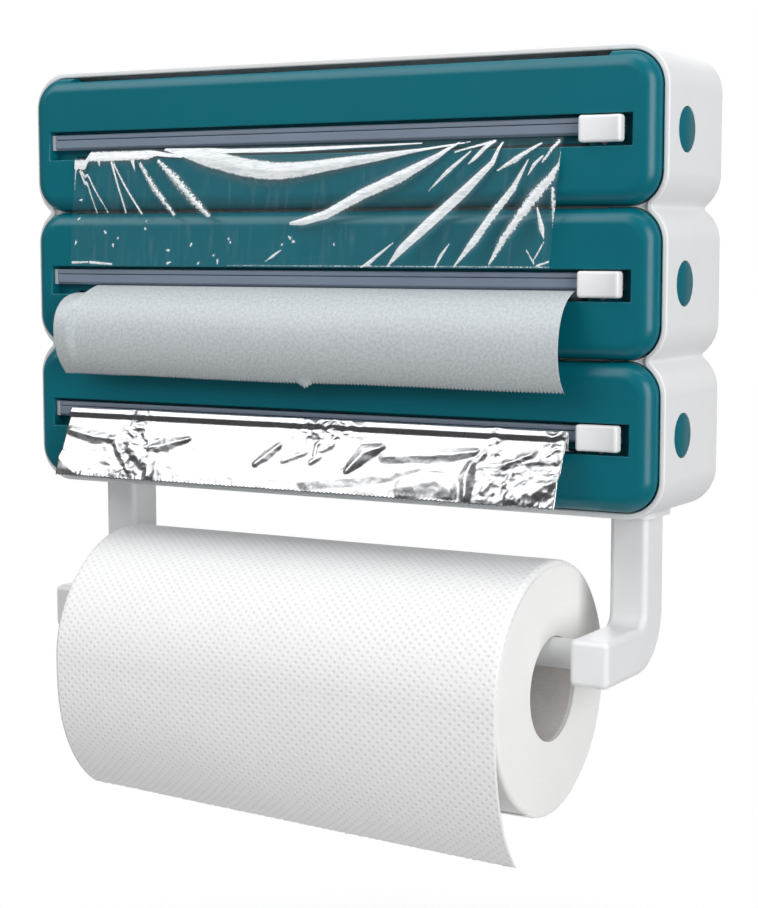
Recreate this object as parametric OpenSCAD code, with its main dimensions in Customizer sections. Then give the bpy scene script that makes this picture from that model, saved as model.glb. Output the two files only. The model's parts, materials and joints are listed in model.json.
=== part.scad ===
/* [Casing] */
// Width of the wrap on the rolls, which sets the width of the whole body
sheet_w = 300; // [240:1:330]
// Room between the wrap and the outside of the casing at each end
end_room = 38.5; // [36:0.5:48]
// Depth of the casing from the wall to its front rim
casing_depth = 71.3; // [68:0.1:82]
// Thickness of the casing wall
wall = 3; // [2.4:0.1:3.6]
// Outer corner radius of each tier
corner_r = 20; // [18:0.5:24]
// Fillet in the neck between two tiers
neck_fillet = 1.5; // [0.8:0.1:2.5]
// Thickness of the dividers between the bays
divider_t = 2.4; // [1.8:0.1:3.2]

/* [Back] */
// Thickness of the back panel
panel_t = 2.6; // [2.2:0.1:3.4]
// Thickness of the ledge that the back panel is screwed to
ledge_t = 4; // [3.4:0.1:6]
// Width of the ledge
ledge_w = 6; // [5.6:0.1:8]
// Distance between the left and the right wall screws
wall_screw_span = 240; // [160:1:260]
// Distance between the two middle panel screws of a divider
rib_screw_span = 156; // [100:1:220]
// Radius of the holes for the wall screws
wall_hole_r = 2.6; // [2:0.1:3.2]
// Radius of the head of a panel screw
screw_head_r = 2.3; // [1.8:0.1:2.6]
// Radius of the shank of a panel screw
screw_r = 1.25; // [0.9:0.05:1.5]

/* [Front covers] */
// Height of one cover
cover_h = 72.7; // [70:0.1:82]
// Thickness of the cover's wall
cover_t = 2.2; // [1.8:0.1:2.6]
// Radius of the cover's rounded front edge, and how far it stands before the rim
edge_r = 8.3; // [7.6:0.1:9.2]
// Gap between a cover and the casing's rim
cover_gap = 0.5; // [0.4:0.05:0.8]
// Seam between two covers
cover_seam = 0.8; // [0.6:0.05:1.2]
// Depth of the skirt that reaches into the casing
skirt = 5; // [3:0.1:6]
// Height of the finger notch in the top edge
notch_h = 2.5; // [1.8:0.1:3.2]
// Distance from the cover's end to the finger notch
notch_inset = 25; // [20:1:40]

/* [Hinges] */
// Radius of a hinge pin
pin_r = 1.5; // [1.2:0.1:1.8]
// Radius of a bracket's knuckle
knuckle_r = 4.2; // [3.4:0.1:4.8]
// Width of a bracket
bracket_w = 8; // [6:0.5:12]
// Thickness of a cover's hinge ear
ear_t = 3; // [2:0.1:4]
// Distance from a cover's end to the middle of its hinge
hinge_inset = 34; // [30:1:50]

/* [Cutter] */
// Height of the recess in a cover
recess_h = 15.2; // [14.6:0.1:18]
// Distance from a cover's end to its recess
recess_inset = 11.8; // [11:0.1:16]
// How far the recess lies below the middle of the cover
recess_drop = 0.7; // [0:0.1:2]
// Depth of the recess
recess_depth = 7; // [6.6:0.1:7.6]
// Thickness of the walls of the recess
pocket_t = 1.6; // [1.2:0.1:1.8]
// Height of the slot that the sheet leaves by
slot_h = 3; // [2.4:0.1:3.6]
// Height of the cutter rail
rail_h = 8.3; // [7.8:0.1:9]
// Thickness of the cutter rail
rail_t = 5; // [4.8:0.1:5.2]
// Distance from the top of the recess to the rail
rail_drop = 1.6; // [1.2:0.1:2]
// Width of a slider knob
knob_w = 24; // [18:0.5:30]
// Height of a slider knob
knob_h = 12.8; // [11:0.1:13]
// How far a knob stands before the cover
knob_proud = 3.5; // [2.5:0.1:5]
// Depth of the finger dish in a knob
dish_depth = 1.2; // [0.6:0.1:1.8]
// Thickness of a blade
blade_t = 0.4; // [0.3:0.05:0.5]

/* [Rolls] */
// Distance from the front rim back to the axis of the rolls
roll_setback = 23.3; // [23:0.1:30]
// How far the wrap sits to the right of the middle
sheet_shift = -5.5; // [-7:0.5:7]
// Outer radius of the cardboard cores
core_r = 14.5; // [13:0.1:14.8]
// Wall of the cardboard cores
core_t = 1.5; // [1:0.1:2]
// Thickness of the wound film
film_build = 5; // [3:0.1:5.8]
// Thickness of the wound baking paper
paper_build = 6; // [3:0.1:6.2]
// Thickness of the wound foil
foil_build = 4.5; // [3:0.1:5.8]
// Radius of a push plug
plug_r = 10.75; // [9:0.05:13]
// Length of a push plug's head
plug_l = 7; // [6.5:0.1:9]
// Travel of a push plug
plug_travel = 5; // [4:0.1:6]
// Radius of a push plug's stem
stem_r = 4; // [3:0.1:4.6]
// Mean radius of the coil springs
spring_r = 6.5; // [6.2:0.1:8]
// Thickness of the spring wire
spring_wire = 1.2; // [0.8:0.1:1.4]
// Curls in a spring
spring_curls = 6; // [4:1:6]

/* [Hanging sheets] */
// Thickness of the hanging sheets
sheet_t = 0.3; // [0.2:0.05:0.4]
// How far the film hangs below its slot
film_drop = 57; // [30:1:60]
// How far the lower edge of the film stands off
film_lean = 7; // [4:0.5:12]
// How far the baking paper bulges before the cover
paper_bulge = 20; // [14:0.5:26]
// How far the baking paper hangs below its slot
paper_drop = 44; // [36:0.5:54]
// How far the foil stands up before it falls
foil_rise = 10; // [8:0.5:13]
// How far the foil hangs below its slot
foil_drop = 25; // [20:0.5:30]
// How far the lower edge of the foil stands off
foil_lean = 21; // [14:0.5:26]

/* [Towel holder] */
// Distance from the casing's end to the middle of an arm
arm_inset = 31; // [30:0.5:38]
// Width of an arm
arm_w = 18.4; // [16:0.1:20]
// Depth of an arm
arm_d = 23; // [20:0.1:25]
// Distance from the wall to the middle of an arm
arm_y = 29; // [24:0.5:32]
// Radius of an arm's edges
arm_edge = 5; // [3:0.1:6]
// Outer radius of an arm's elbow
elbow_r = 30; // [28:0.5:34]
// Distance from the casing down to the axis of the spindle
spindle_drop = 69.6; // [66:0.1:90]
// Distance from the wall out to the axis of the spindle
spindle_reach = 66.6; // [64:0.1:90]
// How far an arm reaches past the spindle
block_reach = 22; // [19:0.5:26]
// Radius of the spindle
spindle_r = 7.5; // [6:0.1:9]
// Height of the pads under the casing
pad_h = 3.2; // [2:0.1:5]
// Rim of a pad around its arm
pad_rim = 4.5; // [3:0.1:5]
// Length of the spigot on an arm
spigot_l = 18; // [14:0.5:20]
// Width of the towel roll
towel_w = 262; // [200:1:270]
// Radius of the towel roll
towel_r = 64; // [50:0.5:68]
// Inner radius of the towel's core
towel_bore_r = 26.5; // [20:0.5:30]
// Wall of the towel's core
towel_core_t = 1.5; // [1:0.1:2.5]
// How far the towel sits to the right of the middle
towel_shift = -2; // [-6:0.5:6]
// Radius of the bend in the hanging towel end
flap_r = 131; // [110:1:160]
// Angle through which the hanging towel end bends
flap_angle = 35.6; // [20:0.1:40]

/* [Clearances] */
// Clearance of parts that slide or turn past each other
clear = 0.3; // [0.25:0.05:0.4]
// Clearance of a running fit
run_fit = 0.05; // [0.03:0.01:0.08]

/* [Hidden] */
$fn = 64;
over = 1;
TIERS = [1, 0, -1];
FILM = 0;
PAPER = 1;
FOIL = 2;
SIDES = [-1, 1];
white = "#eceef0";
teal = "#0a6b78";
blue_grey = "#76808f";
steel = "silver";
card = "#a58f74";

casing_w = sheet_w + 2 * end_room;
tier_pitch = cover_h + cover_seam;
inner_w = casing_w - 2 * wall;
inner_h = cover_h + 2 * cover_gap;
inner_r = corner_r - wall;
lobe_h = inner_h + 2 * wall;
web_x = inner_w / 2 - inner_r;
casing_low = -tier_pitch - lobe_h / 2;
floor_low = -inner_h / 2;
panel_gap = 0.15;
ledge_front = -(panel_t + ledge_t);
divider_room = 1;
divider_setback = edge_r + divider_room;
divider_end_gap = 0.3;

screw_inset = ledge_w / 2 + panel_gap;
screw_head_t = 1.2;
screw_reach = 3;
screw_end_room = 0.2;
screw_hole_gap = 0.05;

cover_w = inner_w - 2 * cover_gap;
cover_r = inner_r - cover_gap;
cover_front = -(casing_depth + edge_r);
cover_back = -casing_depth + skirt;
notch_r = 1.5;
notch_w = cover_w - 2 * notch_inset;

hinge_y = -casing_depth;
hinge_z = -cover_h / 2 + edge_r;
hinge_x = cover_w / 2 - hinge_inset;
bracket_arm = 2.4;
bracket_post = 7;
pin_end = 0.2;
pin_l = bracket_w + 2 * (ear_t + clear + pin_end);
ear_sink = 0.4;
ear_r = edge_r - cover_t + ear_sink;

recess_w = cover_w - 2 * recess_inset;
recess_top = -recess_drop + recess_h / 2;
recess_low = -recess_drop - recess_h / 2;
recess_floor = cover_front + recess_depth;
pocket_back = recess_floor + pocket_t;
slot_side_room = 4;
rail_end_gap = 2.5;
rail_front = recess_floor - rail_t;
rail_top = recess_top - rail_drop;
groove_drop = 2.7;
groove_z = rail_top - groove_drop;
groove_neck = 1;
groove_lip = 1.2;
groove_half = 1.9;
groove_depth = 3;
knob_top_gap = 0.7;
knob_end_gap = 2.5;
knob_round = 1.4;
knob_x = recess_w / 2 - knob_end_gap - knob_w / 2;
knob_z = recess_top - knob_top_gap - knob_h / 2;
knob_front = cover_front - knob_proud;
knob_back = rail_front - 2 * blade_t;
carriage_inset = 3;
carriage_w = knob_w - 2 * carriage_inset;
blade_inset = 4.8;
blade_w = knob_w - 2 * blade_inset;
blade_tip = recess_low + clear;

roll_y = -casing_depth + roll_setback;
core_over = 10;
core_l = sheet_w + 2 * core_over;
core_end = core_l / 2;
wound_gap = 0.05;
cup_flange_t = 2;
cup_rim = 1.5;
cup_fit = 0.1;
cup_floor = 1.5;
cup_face = core_end + cup_flange_t;
plug_gap = 0.25;
plug_back = casing_w / 2 - plug_l;
stem_in = 9.5;
cup_bore_l = stem_in + plug_travel + clear;
cup_l = cup_bore_l - cup_flange_t + cup_floor;
spring_gap = 0.15;
spring_room = plug_back - cup_face - 2 * spring_gap;
spring_pitch = (spring_room - spring_wire) / spring_curls;
BUILDS = [film_build, paper_build, foil_build];

pad_low = casing_low - pad_h;
arm_x = casing_w / 2 - arm_inset;
arm_seam = 0.3;
arm_top = pad_low - arm_seam;
spindle_y = -spindle_reach;
spindle_z = casing_low - spindle_drop;
arm_low = spindle_z - arm_d / 2;
shoulder_w = 2.2;
shoulder_d = 2.5;
spigot_w = arm_w - 2 * shoulder_w;
spigot_d = arm_d - 2 * shoulder_d;
spigot_gap = 0.4;
sleeve_t = 2.4;
sleeve_w = spigot_w + 2 * (spigot_gap + sleeve_t);
sleeve_d = spigot_d + 2 * (spigot_gap + sleeve_t);
sleeve_gap = 0.2;
spigot_top = arm_top + spigot_l;
sleeve_over = 1.5;
sleeve_top = spigot_top + sleeve_over;
tenon = 8;
towel_y = spindle_y;
towel_z = spindle_z + spindle_r + clear - towel_bore_r;
towel_core_r = towel_bore_r + towel_core_t;
towel_gap = 0.35;
towel_skin = towel_r + towel_gap;
towel_sheet_t = 0.4;

// Helpers that turn a flat outline into a solid along one axis

module along_x(x0, x1) {
    translate([x0, 0, 0]) rotate([90, 0, 90]) linear_extrude(x1 - x0) children();
}

module along_y(y0, y1) {
    translate([0, y1, 0]) rotate([90, 0, 0]) linear_extrude(y1 - y0) children();
}

module along_z(z0, z1) {
    translate([0, 0, z0]) linear_extrude(z1 - z0) children();
}

module tube_x(x0, x1, r) {
    translate([x0, 0, 0]) rotate([0, 90, 0]) cylinder(h = x1 - x0, r = r);
}

module rounded(w, h, r) {
    square([w - 2 * r, h], center = true);
    square([w, h - 2 * r], center = true);
    for (sx = SIDES, sy = SIDES)
        translate([sx * (w / 2 - r), sy * (h / 2 - r)]) circle(r);
}

module box(x0, x1, y0, y1, z0, z1) {
    translate([x0, y0, z0]) cube([x1 - x0, y1 - y0, z1 - z0]);
}

module at_tier(index) {
    translate([0, 0, TIERS[index] * tier_pitch]) children();
}

// Casing

module neck_fill(level) {
    arc_x = casing_w / 2 - corner_r;
    arc_rise = tier_pitch / 2 - (lobe_h / 2 - corner_r);
    reach = sqrt(pow(corner_r + neck_fillet, 2) - pow(arc_rise, 2));
    centre = [arc_x + reach, level];
    difference() {
        polygon([[arc_x, level - arc_rise], centre, [arc_x, level + arc_rise]]);
        translate(centre) circle(neck_fillet);
    }
}

module casing_outline() {
    for (tier = TIERS) translate([0, tier * tier_pitch]) rounded(casing_w, lobe_h, corner_r);
    for (side = SIDES, level = SIDES)
        mirror([side < 0 ? 1 : 0, 0]) neck_fill(level * tier_pitch / 2);
}

module cavity_outline(shrink) {
    for (tier = TIERS)
        translate([0, tier * tier_pitch])
            rounded(inner_w - 2 * shrink, inner_h - 2 * shrink, inner_r - shrink);
    square([2 * (web_x - shrink), 2 * tier_pitch], center = true);
}

module ledge_windows() {
    for (tier = TIERS)
        translate([0, tier * tier_pitch])
            rounded(inner_w - 2 * ledge_w, inner_h - 2 * ledge_w, inner_r - ledge_w);
}

module at_panel_screws() {
    for (side = SIDES, tier = TIERS)
        translate([side * (inner_w / 2 - screw_inset), 0, tier * tier_pitch]) rotate([90, 0, 0]) children();
    for (side = SIDES, level = SIDES)
        translate([side * rib_screw_span / 2, 0, level * tier_pitch / 2]) rotate([90, 0, 0]) children();
}

module at_wall_screws() {
    for (side = SIDES, level = SIDES)
        translate([side * wall_screw_span / 2, 0, level * tier_pitch]) rotate([90, 0, 0]) children();
}

module casing_shell() {
    hole_r = screw_r + screw_hole_gap;
    color(white) difference() {
        along_y(-casing_depth, 0) casing_outline();
        along_y(-casing_depth - over, ledge_front) cavity_outline(0);
        along_y(ledge_front - over, over) ledge_windows();
        along_y(-panel_t, over) cavity_outline(0);
        at_panel_screws() translate([0, 0, panel_t - over]) cylinder(h = screw_reach + screw_end_room + over, r = hole_r);
        for (index = [FILM, PAPER, FOIL])
            at_tier(index) translate([0, roll_y, 0])
                tube_x(-casing_w / 2 - over, casing_w / 2 + over, plug_r + plug_gap);
        for (side = SIDES)
            translate([side * arm_x, -arm_y, casing_low - over])
                along_z(0, wall + 2 * over)
                    square([sleeve_w + 2 * sleeve_gap, sleeve_d + 2 * sleeve_gap], center = true);
    }
}

module back_panel() {
    color(white) difference() {
        along_y(-panel_t, 0) cavity_outline(panel_gap);
        at_wall_screws() translate([0, 0, -over]) cylinder(h = panel_t + 2 * over, r = wall_hole_r);
        at_panel_screws() {
            translate([0, 0, -over]) cylinder(h = panel_t + 2 * over, r = screw_r + screw_hole_gap);
            translate([0, 0, -over]) cylinder(h = screw_head_t + over, r = screw_head_r + screw_hole_gap);
        }
    }
}

module panel_screws() {
    color(steel) at_panel_screws() {
        cylinder(h = screw_head_t, r = screw_head_r);
        cylinder(h = panel_t + screw_reach, r = screw_r);
    }
}

module divider(level) {
    half = web_x - divider_end_gap;
    color(white) translate([0, 0, level * tier_pitch / 2])
        box(-half, half, -casing_depth + divider_setback, ledge_front, -divider_t / 2, divider_t / 2);
}

// Hinges

function bracket_floor(index) = index == FOIL ? floor_low : -tier_pitch / 2 + divider_t / 2;

module bracket(index, side) {
    post_y = -casing_depth + divider_setback;
    base = bracket_floor(index);
    at_tier(index) difference() {
        along_x(side * hinge_x - bracket_w / 2, side * hinge_x + bracket_w / 2) {
            translate([hinge_y, hinge_z]) circle(knuckle_r);
            translate([hinge_y, hinge_z - bracket_arm]) square([divider_setback + bracket_post, 2 * bracket_arm]);
            translate([post_y, base]) square([bracket_post, hinge_z + bracket_arm - base]);
        }
        translate([0, hinge_y, hinge_z])
            tube_x(side * hinge_x - bracket_w, side * hinge_x + bracket_w, pin_r);
    }
}

module hinge_brackets() {
    color(white) for (index = [FILM, PAPER, FOIL], side = SIDES) bracket(index, side);
}

module hinge_pins() {
    color(steel) for (index = [FILM, PAPER, FOIL], side = SIDES)
        at_tier(index) translate([side * hinge_x, hinge_y, hinge_z]) tube_x(-pin_l / 2, pin_l / 2, pin_r);
}

// Front covers

module edge_profile(span, edge, front, back) {
    half = span / 2;
    translate([front + edge, -half]) square([back - front - edge, span]);
    translate([front, -half + edge]) square([edge + over, span - 2 * edge]);
    intersection() {
        for (side = SIDES) translate([front + edge, side * (half - edge)]) circle(edge);
        translate([front, -half]) square([edge, span]);
    }
}

module corner_profile(r, edge, depth) {
    square([r, depth - edge]);
    square([r - edge, depth]);
    intersection() {
        translate([r - edge, depth - edge]) circle(edge);
        translate([r - edge, 0]) square([edge, depth]);
    }
}

module tray(w, h, r, edge, front, back) {
    along_x(-w / 2 + r, w / 2 - r) edge_profile(h, edge, front, back);
    along_z(-h / 2 + r, h / 2 - r) mirror([1, -1]) edge_profile(w, edge, front, back);
    for (sx = SIDES, sz = SIDES)
        translate([sx * (w / 2 - r), back, sz * (h / 2 - r)])
            rotate([90, 0, 0]) rotate_extrude() corner_profile(r, edge, back - front);
}

module at_hinges() {
    for (side = SIDES) translate([side * hinge_x, hinge_y, hinge_z]) children();
}

module hinge_ears() {
    start = bracket_w / 2 + clear;
    at_hinges() {
        tube_x(start, start + ear_t, ear_r);
        tube_x(-start - ear_t, -start, ear_r);
    }
}

module front_cover(index) {
    half = recess_w / 2;
    pocket_front = cover_front + cover_t / 2;
    low_skirt = -cover_h / 2 + cover_r;
    slot_left = sheet_shift - sheet_w / 2 - slot_side_room;
    slot_right = sheet_shift + sheet_w / 2 + slot_side_room;
    color(teal) at_tier(index) difference() {
        union() {
            difference() {
                tray(cover_w, cover_h, cover_r, edge_r, cover_front, cover_back);
                tray(cover_w - 2 * cover_t, cover_h - 2 * cover_t, cover_r - cover_t,
                    edge_r - cover_t, cover_front + cover_t, cover_back + over);
                box(-cover_w, cover_w, -casing_depth, cover_back + over, -cover_h, low_skirt);
            }
            box(-half - pocket_t, half + pocket_t, pocket_front, pocket_back,
                recess_low - pocket_t, recess_top + pocket_t);
            hinge_ears();
        }
        box(-half, half, cover_front - over, recess_floor, recess_low, recess_top);
        box(slot_left, slot_right, cover_front, pocket_back + over, recess_low, recess_low + slot_h);
        along_y(cover_front - over, cover_back + over)
            translate([0, cover_h / 2]) rounded(notch_w, 2 * notch_h, notch_r);
        at_hinges() tube_x(-pin_l, pin_l, pin_r + run_fit);
    }
}

// Cutter

module cutter_rail(index) {
    half = recess_w / 2 - rail_end_gap;
    color(blue_grey) at_tier(index) along_x(-half, half) difference() {
        translate([rail_front, rail_top - rail_h]) square([rail_t, rail_h]);
        translate([rail_front - over, groove_z - groove_neck]) square([groove_lip + 2 * over, 2 * groove_neck]);
        translate([rail_front + groove_lip, groove_z - groove_half])
            square([groove_depth - groove_lip, 2 * groove_half]);
    }
}

module slider_knob(index) {
    thick = knob_back - knob_front;
    dish_r = (pow(knob_w / 2 - knob_round, 2) + pow(dish_depth, 2)) / (2 * dish_depth);
    color(white) at_tier(index) translate([knob_x, 0, knob_z]) difference() {
        intersection() {
            along_y(knob_front, knob_back) rounded(knob_w, knob_h, knob_round);
            along_z(-knob_h, knob_h) translate([0, knob_front + thick]) rounded(knob_w, 2 * thick, knob_round);
            along_x(-knob_w, knob_w) translate([knob_front + thick, 0]) rounded(2 * thick, knob_h, knob_round);
        }
        translate([0, knob_front - dish_r + dish_depth, -knob_h]) cylinder(h = 2 * knob_h, r = dish_r);
    }
}

module slider_carriage(index) {
    tongue_front = rail_front + groove_lip + clear;
    tongue_back = rail_front + groove_depth - clear;
    neck = groove_neck - clear;
    tongue = groove_half - clear;
    color(white) at_tier(index) along_x(knob_x - carriage_w / 2, knob_x + carriage_w / 2) {
        translate([knob_back, groove_z - neck]) square([tongue_back - knob_back, 2 * neck]);
        translate([tongue_front, groove_z - tongue]) square([tongue_back - tongue_front, 2 * tongue]);
    }
}

module cutter_blade(index) {
    top = rail_top - rail_h;
    color(steel) at_tier(index) translate([knob_x, 0, 0]) along_y(knob_back, knob_back + blade_t)
        polygon([[-blade_w / 2, top], [0, blade_tip], [blade_w / 2, top]]);
}

// Rolls, cups, springs and push plugs

module roll_core(index) {
    color(card) at_tier(index) translate([0, roll_y, 0]) difference() {
        tube_x(-core_end, core_end, core_r);
        tube_x(-core_end - over, core_end + over, core_r - core_t);
    }
}

module wound_roll(index, tint) {
    left = sheet_shift - sheet_w / 2;
    right = sheet_shift + sheet_w / 2;
    color(tint) at_tier(index) translate([0, roll_y, 0]) difference() {
        tube_x(left, right, core_r + BUILDS[index]);
        tube_x(left - over, right + over, core_r + wound_gap);
    }
}

module core_cup() {
    difference() {
        union() {
            tube_x(core_end, cup_face, core_r + cup_rim);
            tube_x(core_end - cup_l, core_end, core_r - core_t - cup_fit);
        }
        tube_x(cup_face - cup_bore_l, cup_face + over, stem_r + run_fit);
    }
}

module core_cups(index) {
    color(white) at_tier(index) translate([0, roll_y, 0])
        for (side = SIDES) mirror([side < 0 ? 1 : 0, 0, 0]) core_cup();
}

module push_plug(index, side) {
    color(teal) at_tier(index) translate([0, roll_y, 0]) mirror([side < 0 ? 1 : 0, 0, 0]) {
        tube_x(plug_back, casing_w / 2, plug_r);
        tube_x(cup_face - stem_in, plug_back + over, stem_r);
    }
}

// A tube swept along points: rings of corner points joined by triangles, closed at both ends

function ring_faces(rings, sides) = [
    for (i = [0:rings - 2], k = [0:sides - 1], half = [0, 1])
        let (a = i * sides + k, b = i * sides + (k + 1) % sides)
            half == 0 ? [a, b, b + sides] : [a, b + sides, a + sides]
];

function cap_faces(rings, sides) = concat(
    [for (k = [1:sides - 2]) [0, k + 1, k]],
    [for (k = [1:sides - 2]) let (last = (rings - 1) * sides) [last, last + k, last + k + 1]]
);

spring_steps = 8;
spring_sides = 6;
spring_rings = spring_curls * spring_steps + 1;

function spring_point(i) =
    let (turn = 360 * i / spring_steps)
        [spring_wire / 2 + spring_pitch * i / spring_steps, spring_r * cos(turn), spring_r * sin(turn)];

function spring_corner(i, k) =
    let (
        turn = 360 * i / spring_steps,
        lap = 360 * k / spring_sides,
        out = spring_wire / 2 * cos(lap),
        along = spring_wire / 2 * sin(lap),
        centre = spring_point(i)
    )
        centre + [along, out * cos(turn), out * sin(turn)];

spring_self_gap = min([for (i = [0:spring_rings - 1], j = [i + spring_steps / 2:spring_rings - 1])
    norm(spring_point(i) - spring_point(j))]) - spring_wire;
echo(spring_self_gap = spring_self_gap);

module plug_spring(index, side) {
    corners = [for (i = [0:spring_rings - 1], k = [0:spring_sides - 1]) spring_corner(i, k)];
    faces = concat(ring_faces(spring_rings, spring_sides), cap_faces(spring_rings, spring_sides));
    color(steel) at_tier(index) mirror([side < 0 ? 1 : 0, 0, 0])
        translate([cup_face + spring_gap, roll_y, 0]) polyhedron(corners, faces);
}

// Hanging sheets: a path in the side view, swept over the width, with folds that grow downwards

function bezier(a, b, c, d, t) =
    pow(1 - t, 3) * a + 3 * pow(1 - t, 2) * t * b + 3 * (1 - t) * pow(t, 2) * c + pow(t, 3) * d;

sheet_lift = 0.7;
sheet_exit = recess_low + sheet_lift;
lip_y = cover_front - sheet_lift;
lip_ease = 1;

function roll_front(index) =
    roll_y - sqrt(pow(core_r + BUILDS[index], 2) - pow(sheet_exit, 2)) - 2 * clear;

function film_path(t) = bezier(
    [lip_y, sheet_exit], [lip_y - lip_ease, sheet_exit - lip_ease],
    [lip_y - film_lean / 2, sheet_exit - film_drop / 2], [lip_y - film_lean, sheet_exit - film_drop], t);

// The baking paper springs forward off the lip, swells and tucks back in at its lower edge

paper_spring = 1.5;
paper_swell = 1.1;
paper_low_pull = 0.8;
paper_tuck = 0.5;

function paper_path(t) = bezier(
    [lip_y, sheet_exit], [lip_y - paper_spring * paper_bulge, sheet_exit - 2 * lip_ease],
    [lip_y - paper_swell * paper_bulge, sheet_exit - paper_low_pull * paper_drop],
    [lip_y - paper_tuck * paper_bulge, sheet_exit - paper_drop], t);

// The foil stands up before the recess, then falls forward over its own crest

foil_front = knob_front - 2 * clear - 1.5 * lip_ease;
foil_crest = 1.35;
foil_fall = 0.2;
foil_split = 0.3;

function foil_path(t) = t < foil_split
    ? bezier([lip_y, sheet_exit], [foil_front, sheet_exit], [foil_front, sheet_exit + foil_rise / 2],
        [foil_front, sheet_exit + foil_rise], t / foil_split)
    : bezier([foil_front, sheet_exit + foil_rise], [foil_front - lip_ease / 2, sheet_exit + foil_crest * foil_rise],
        [foil_front - foil_lean / 2, sheet_exit + foil_fall * foil_rise],
        [lip_y - foil_lean, sheet_exit - foil_drop], (t - foil_split) / (1 - foil_split));

function sheet_path(index, t) =
    index == FILM ? film_path(t) : index == PAPER ? paper_path(t) : foil_path(t);

// Depth and number of the folds across each sheet

film_fold = 0.9;
film_fold_count = 7;
film_fold_slant = 1.5;
paper_fold = 0.8;
paper_fold_count = 1.5;
foil_fold = 0.7;
foil_fold_count = 9;
foil_edge_fold = 0.5;
foil_edge_count = 4;

function sheet_fold(index, t, u) =
    index == FILM ? film_fold * t * sin(360 * (film_fold_count * u + film_fold_slant * t))
    : index == PAPER ? paper_fold * t * sin(360 * paper_fold_count * u)
    : foil_fold * sin(180 * t) * sin(360 * (foil_fold_count * u - t))
        + foil_edge_fold * t * sin(360 * foil_edge_count * u);

sheet_rows = 10;
sheet_columns = 22;

function sheet_row(index, i) =
    i == 0 ? [roll_front(index), sheet_exit] : sheet_path(index, (i - 1) / (sheet_rows - 1));

// The thickness is laid square to the path

function sheet_corner(index, i, j, face) =
    let (
        u = j / sheet_columns,
        t = max(0, (i - 1) / (sheet_rows - 1)),
        step = sheet_row(index, min(i + 1, sheet_rows)) - sheet_row(index, max(i - 1, 0)),
        normal = [step[1], -step[0]] / norm(step),
        point = sheet_row(index, i) - face * sheet_t / 2 * normal,
        fold = i < 2 ? 0 : abs(sheet_fold(index, t, u))
    )
        [sheet_shift + sheet_w * (u - 0.5), point[0] - fold, point[1]];

// Corner points run over the front and the back of a sheet, so its edges are closed by strips

function grid_faces(rows, columns) =
    let (wide = columns + 1, back = (rows + 1) * wide)
        concat(
            [for (i = [0:rows - 1], j = [0:columns - 1], half = [0, 1])
                let (a = i * wide + j, b = a + wide)
                    half == 0 ? [a, b, b + 1] : [a, b + 1, a + 1]],
            [for (i = [0:rows - 1], j = [0:columns - 1], half = [0, 1])
                let (a = back + i * wide + j, b = a + wide)
                    half == 0 ? [a, b + 1, b] : [a, a + 1, b + 1]],
            [for (j = [0:columns - 1], end = [0, 1], half = [0, 1])
                let (a = end * rows * wide + j, c = back + a)
                    end == 0
                        ? (half == 0 ? [a, a + 1, c + 1] : [a, c + 1, c])
                        : (half == 0 ? [a, c + 1, a + 1] : [a, c, c + 1])],
            [for (i = [0:rows - 1], end = [0, 1], half = [0, 1])
                let (a = i * wide + end * columns, b = a + wide, c = back + a, d = back + b)
                    end == 0
                        ? (half == 0 ? [a, d, b] : [a, c, d])
                        : (half == 0 ? [a, b, d] : [a, d, c])]
        );

module hanging_sheet(index, tint) {
    corners = [for (face = [-1, 1], i = [0:sheet_rows], j = [0:sheet_columns]) sheet_corner(index, i, j, face)];
    color(tint) at_tier(index) polyhedron(corners, grid_faces(sheet_rows, sheet_columns));
}

// Towel holder

module arm_socket(side) {
    pad_w = arm_w + 2 * pad_rim;
    pad_d = arm_d + 2 * pad_rim;
    hole_w = spigot_w + 2 * spigot_gap;
    hole_d = spigot_d + 2 * spigot_gap;
    color(white) translate([side * arm_x, -arm_y, 0]) difference() {
        union() {
            along_z(pad_low, casing_low) rounded(pad_w, pad_d, arm_edge + pad_rim / 2);
            along_z(casing_low, sleeve_top) square([sleeve_w, sleeve_d], center = true);
        }
        along_z(pad_low - over, sleeve_top + over) square([hole_w, hole_d], center = true);
    }
}

module arm_section() {
    rounded(arm_w, arm_d, arm_edge);
}

module arm_block() {
    front = spindle_y - block_reach;
    back = -arm_y + arm_d / 2 - elbow_r;
    length = back - front;
    intersection() {
        translate([0, 0, spindle_z]) along_y(front, back) arm_section();
        along_x(-arm_w, arm_w) translate([back, spindle_z]) rounded(2 * length, arm_d, 2 * arm_edge);
        along_z(arm_low - over, spindle_z + arm_d) translate([0, back]) rounded(arm_w, 2 * length, arm_edge);
    }
}

module arm_elbow() {
    translate([0, -arm_y + arm_d / 2 - elbow_r, arm_low + elbow_r])
        rotate([0, 90, 0])
            rotate_extrude(angle = 90) translate([elbow_r - arm_d / 2, 0]) rotate(90) arm_section();
}

module towel_arm(side) {
    color(white) difference() {
        translate([side * arm_x, 0, 0]) {
            translate([0, -arm_y, 0]) along_z(arm_low + elbow_r, arm_top) arm_section();
            translate([0, -arm_y, 0]) along_z(arm_top - over, spigot_top)
                square([spigot_w, spigot_d], center = true);
            arm_elbow();
            arm_block();
        }
        translate([side * (arm_x - arm_w / 2 + tenon / 2), spindle_y, spindle_z])
            tube_x(-tenon / 2 - (side > 0 ? over : 0), tenon / 2 + (side < 0 ? over : 0), spindle_r + run_fit);
    }
}

module towel_spindle() {
    half = arm_x - arm_w / 2 + tenon - clear;
    color(white) translate([0, spindle_y, spindle_z]) tube_x(-half, half, spindle_r);
}

module towel_tube(inner, outer) {
    left = towel_shift - towel_w / 2;
    right = towel_shift + towel_w / 2;
    translate([0, towel_y, towel_z]) difference() {
        tube_x(left, right, outer);
        tube_x(left - over, right + over, inner);
    }
}

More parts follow.
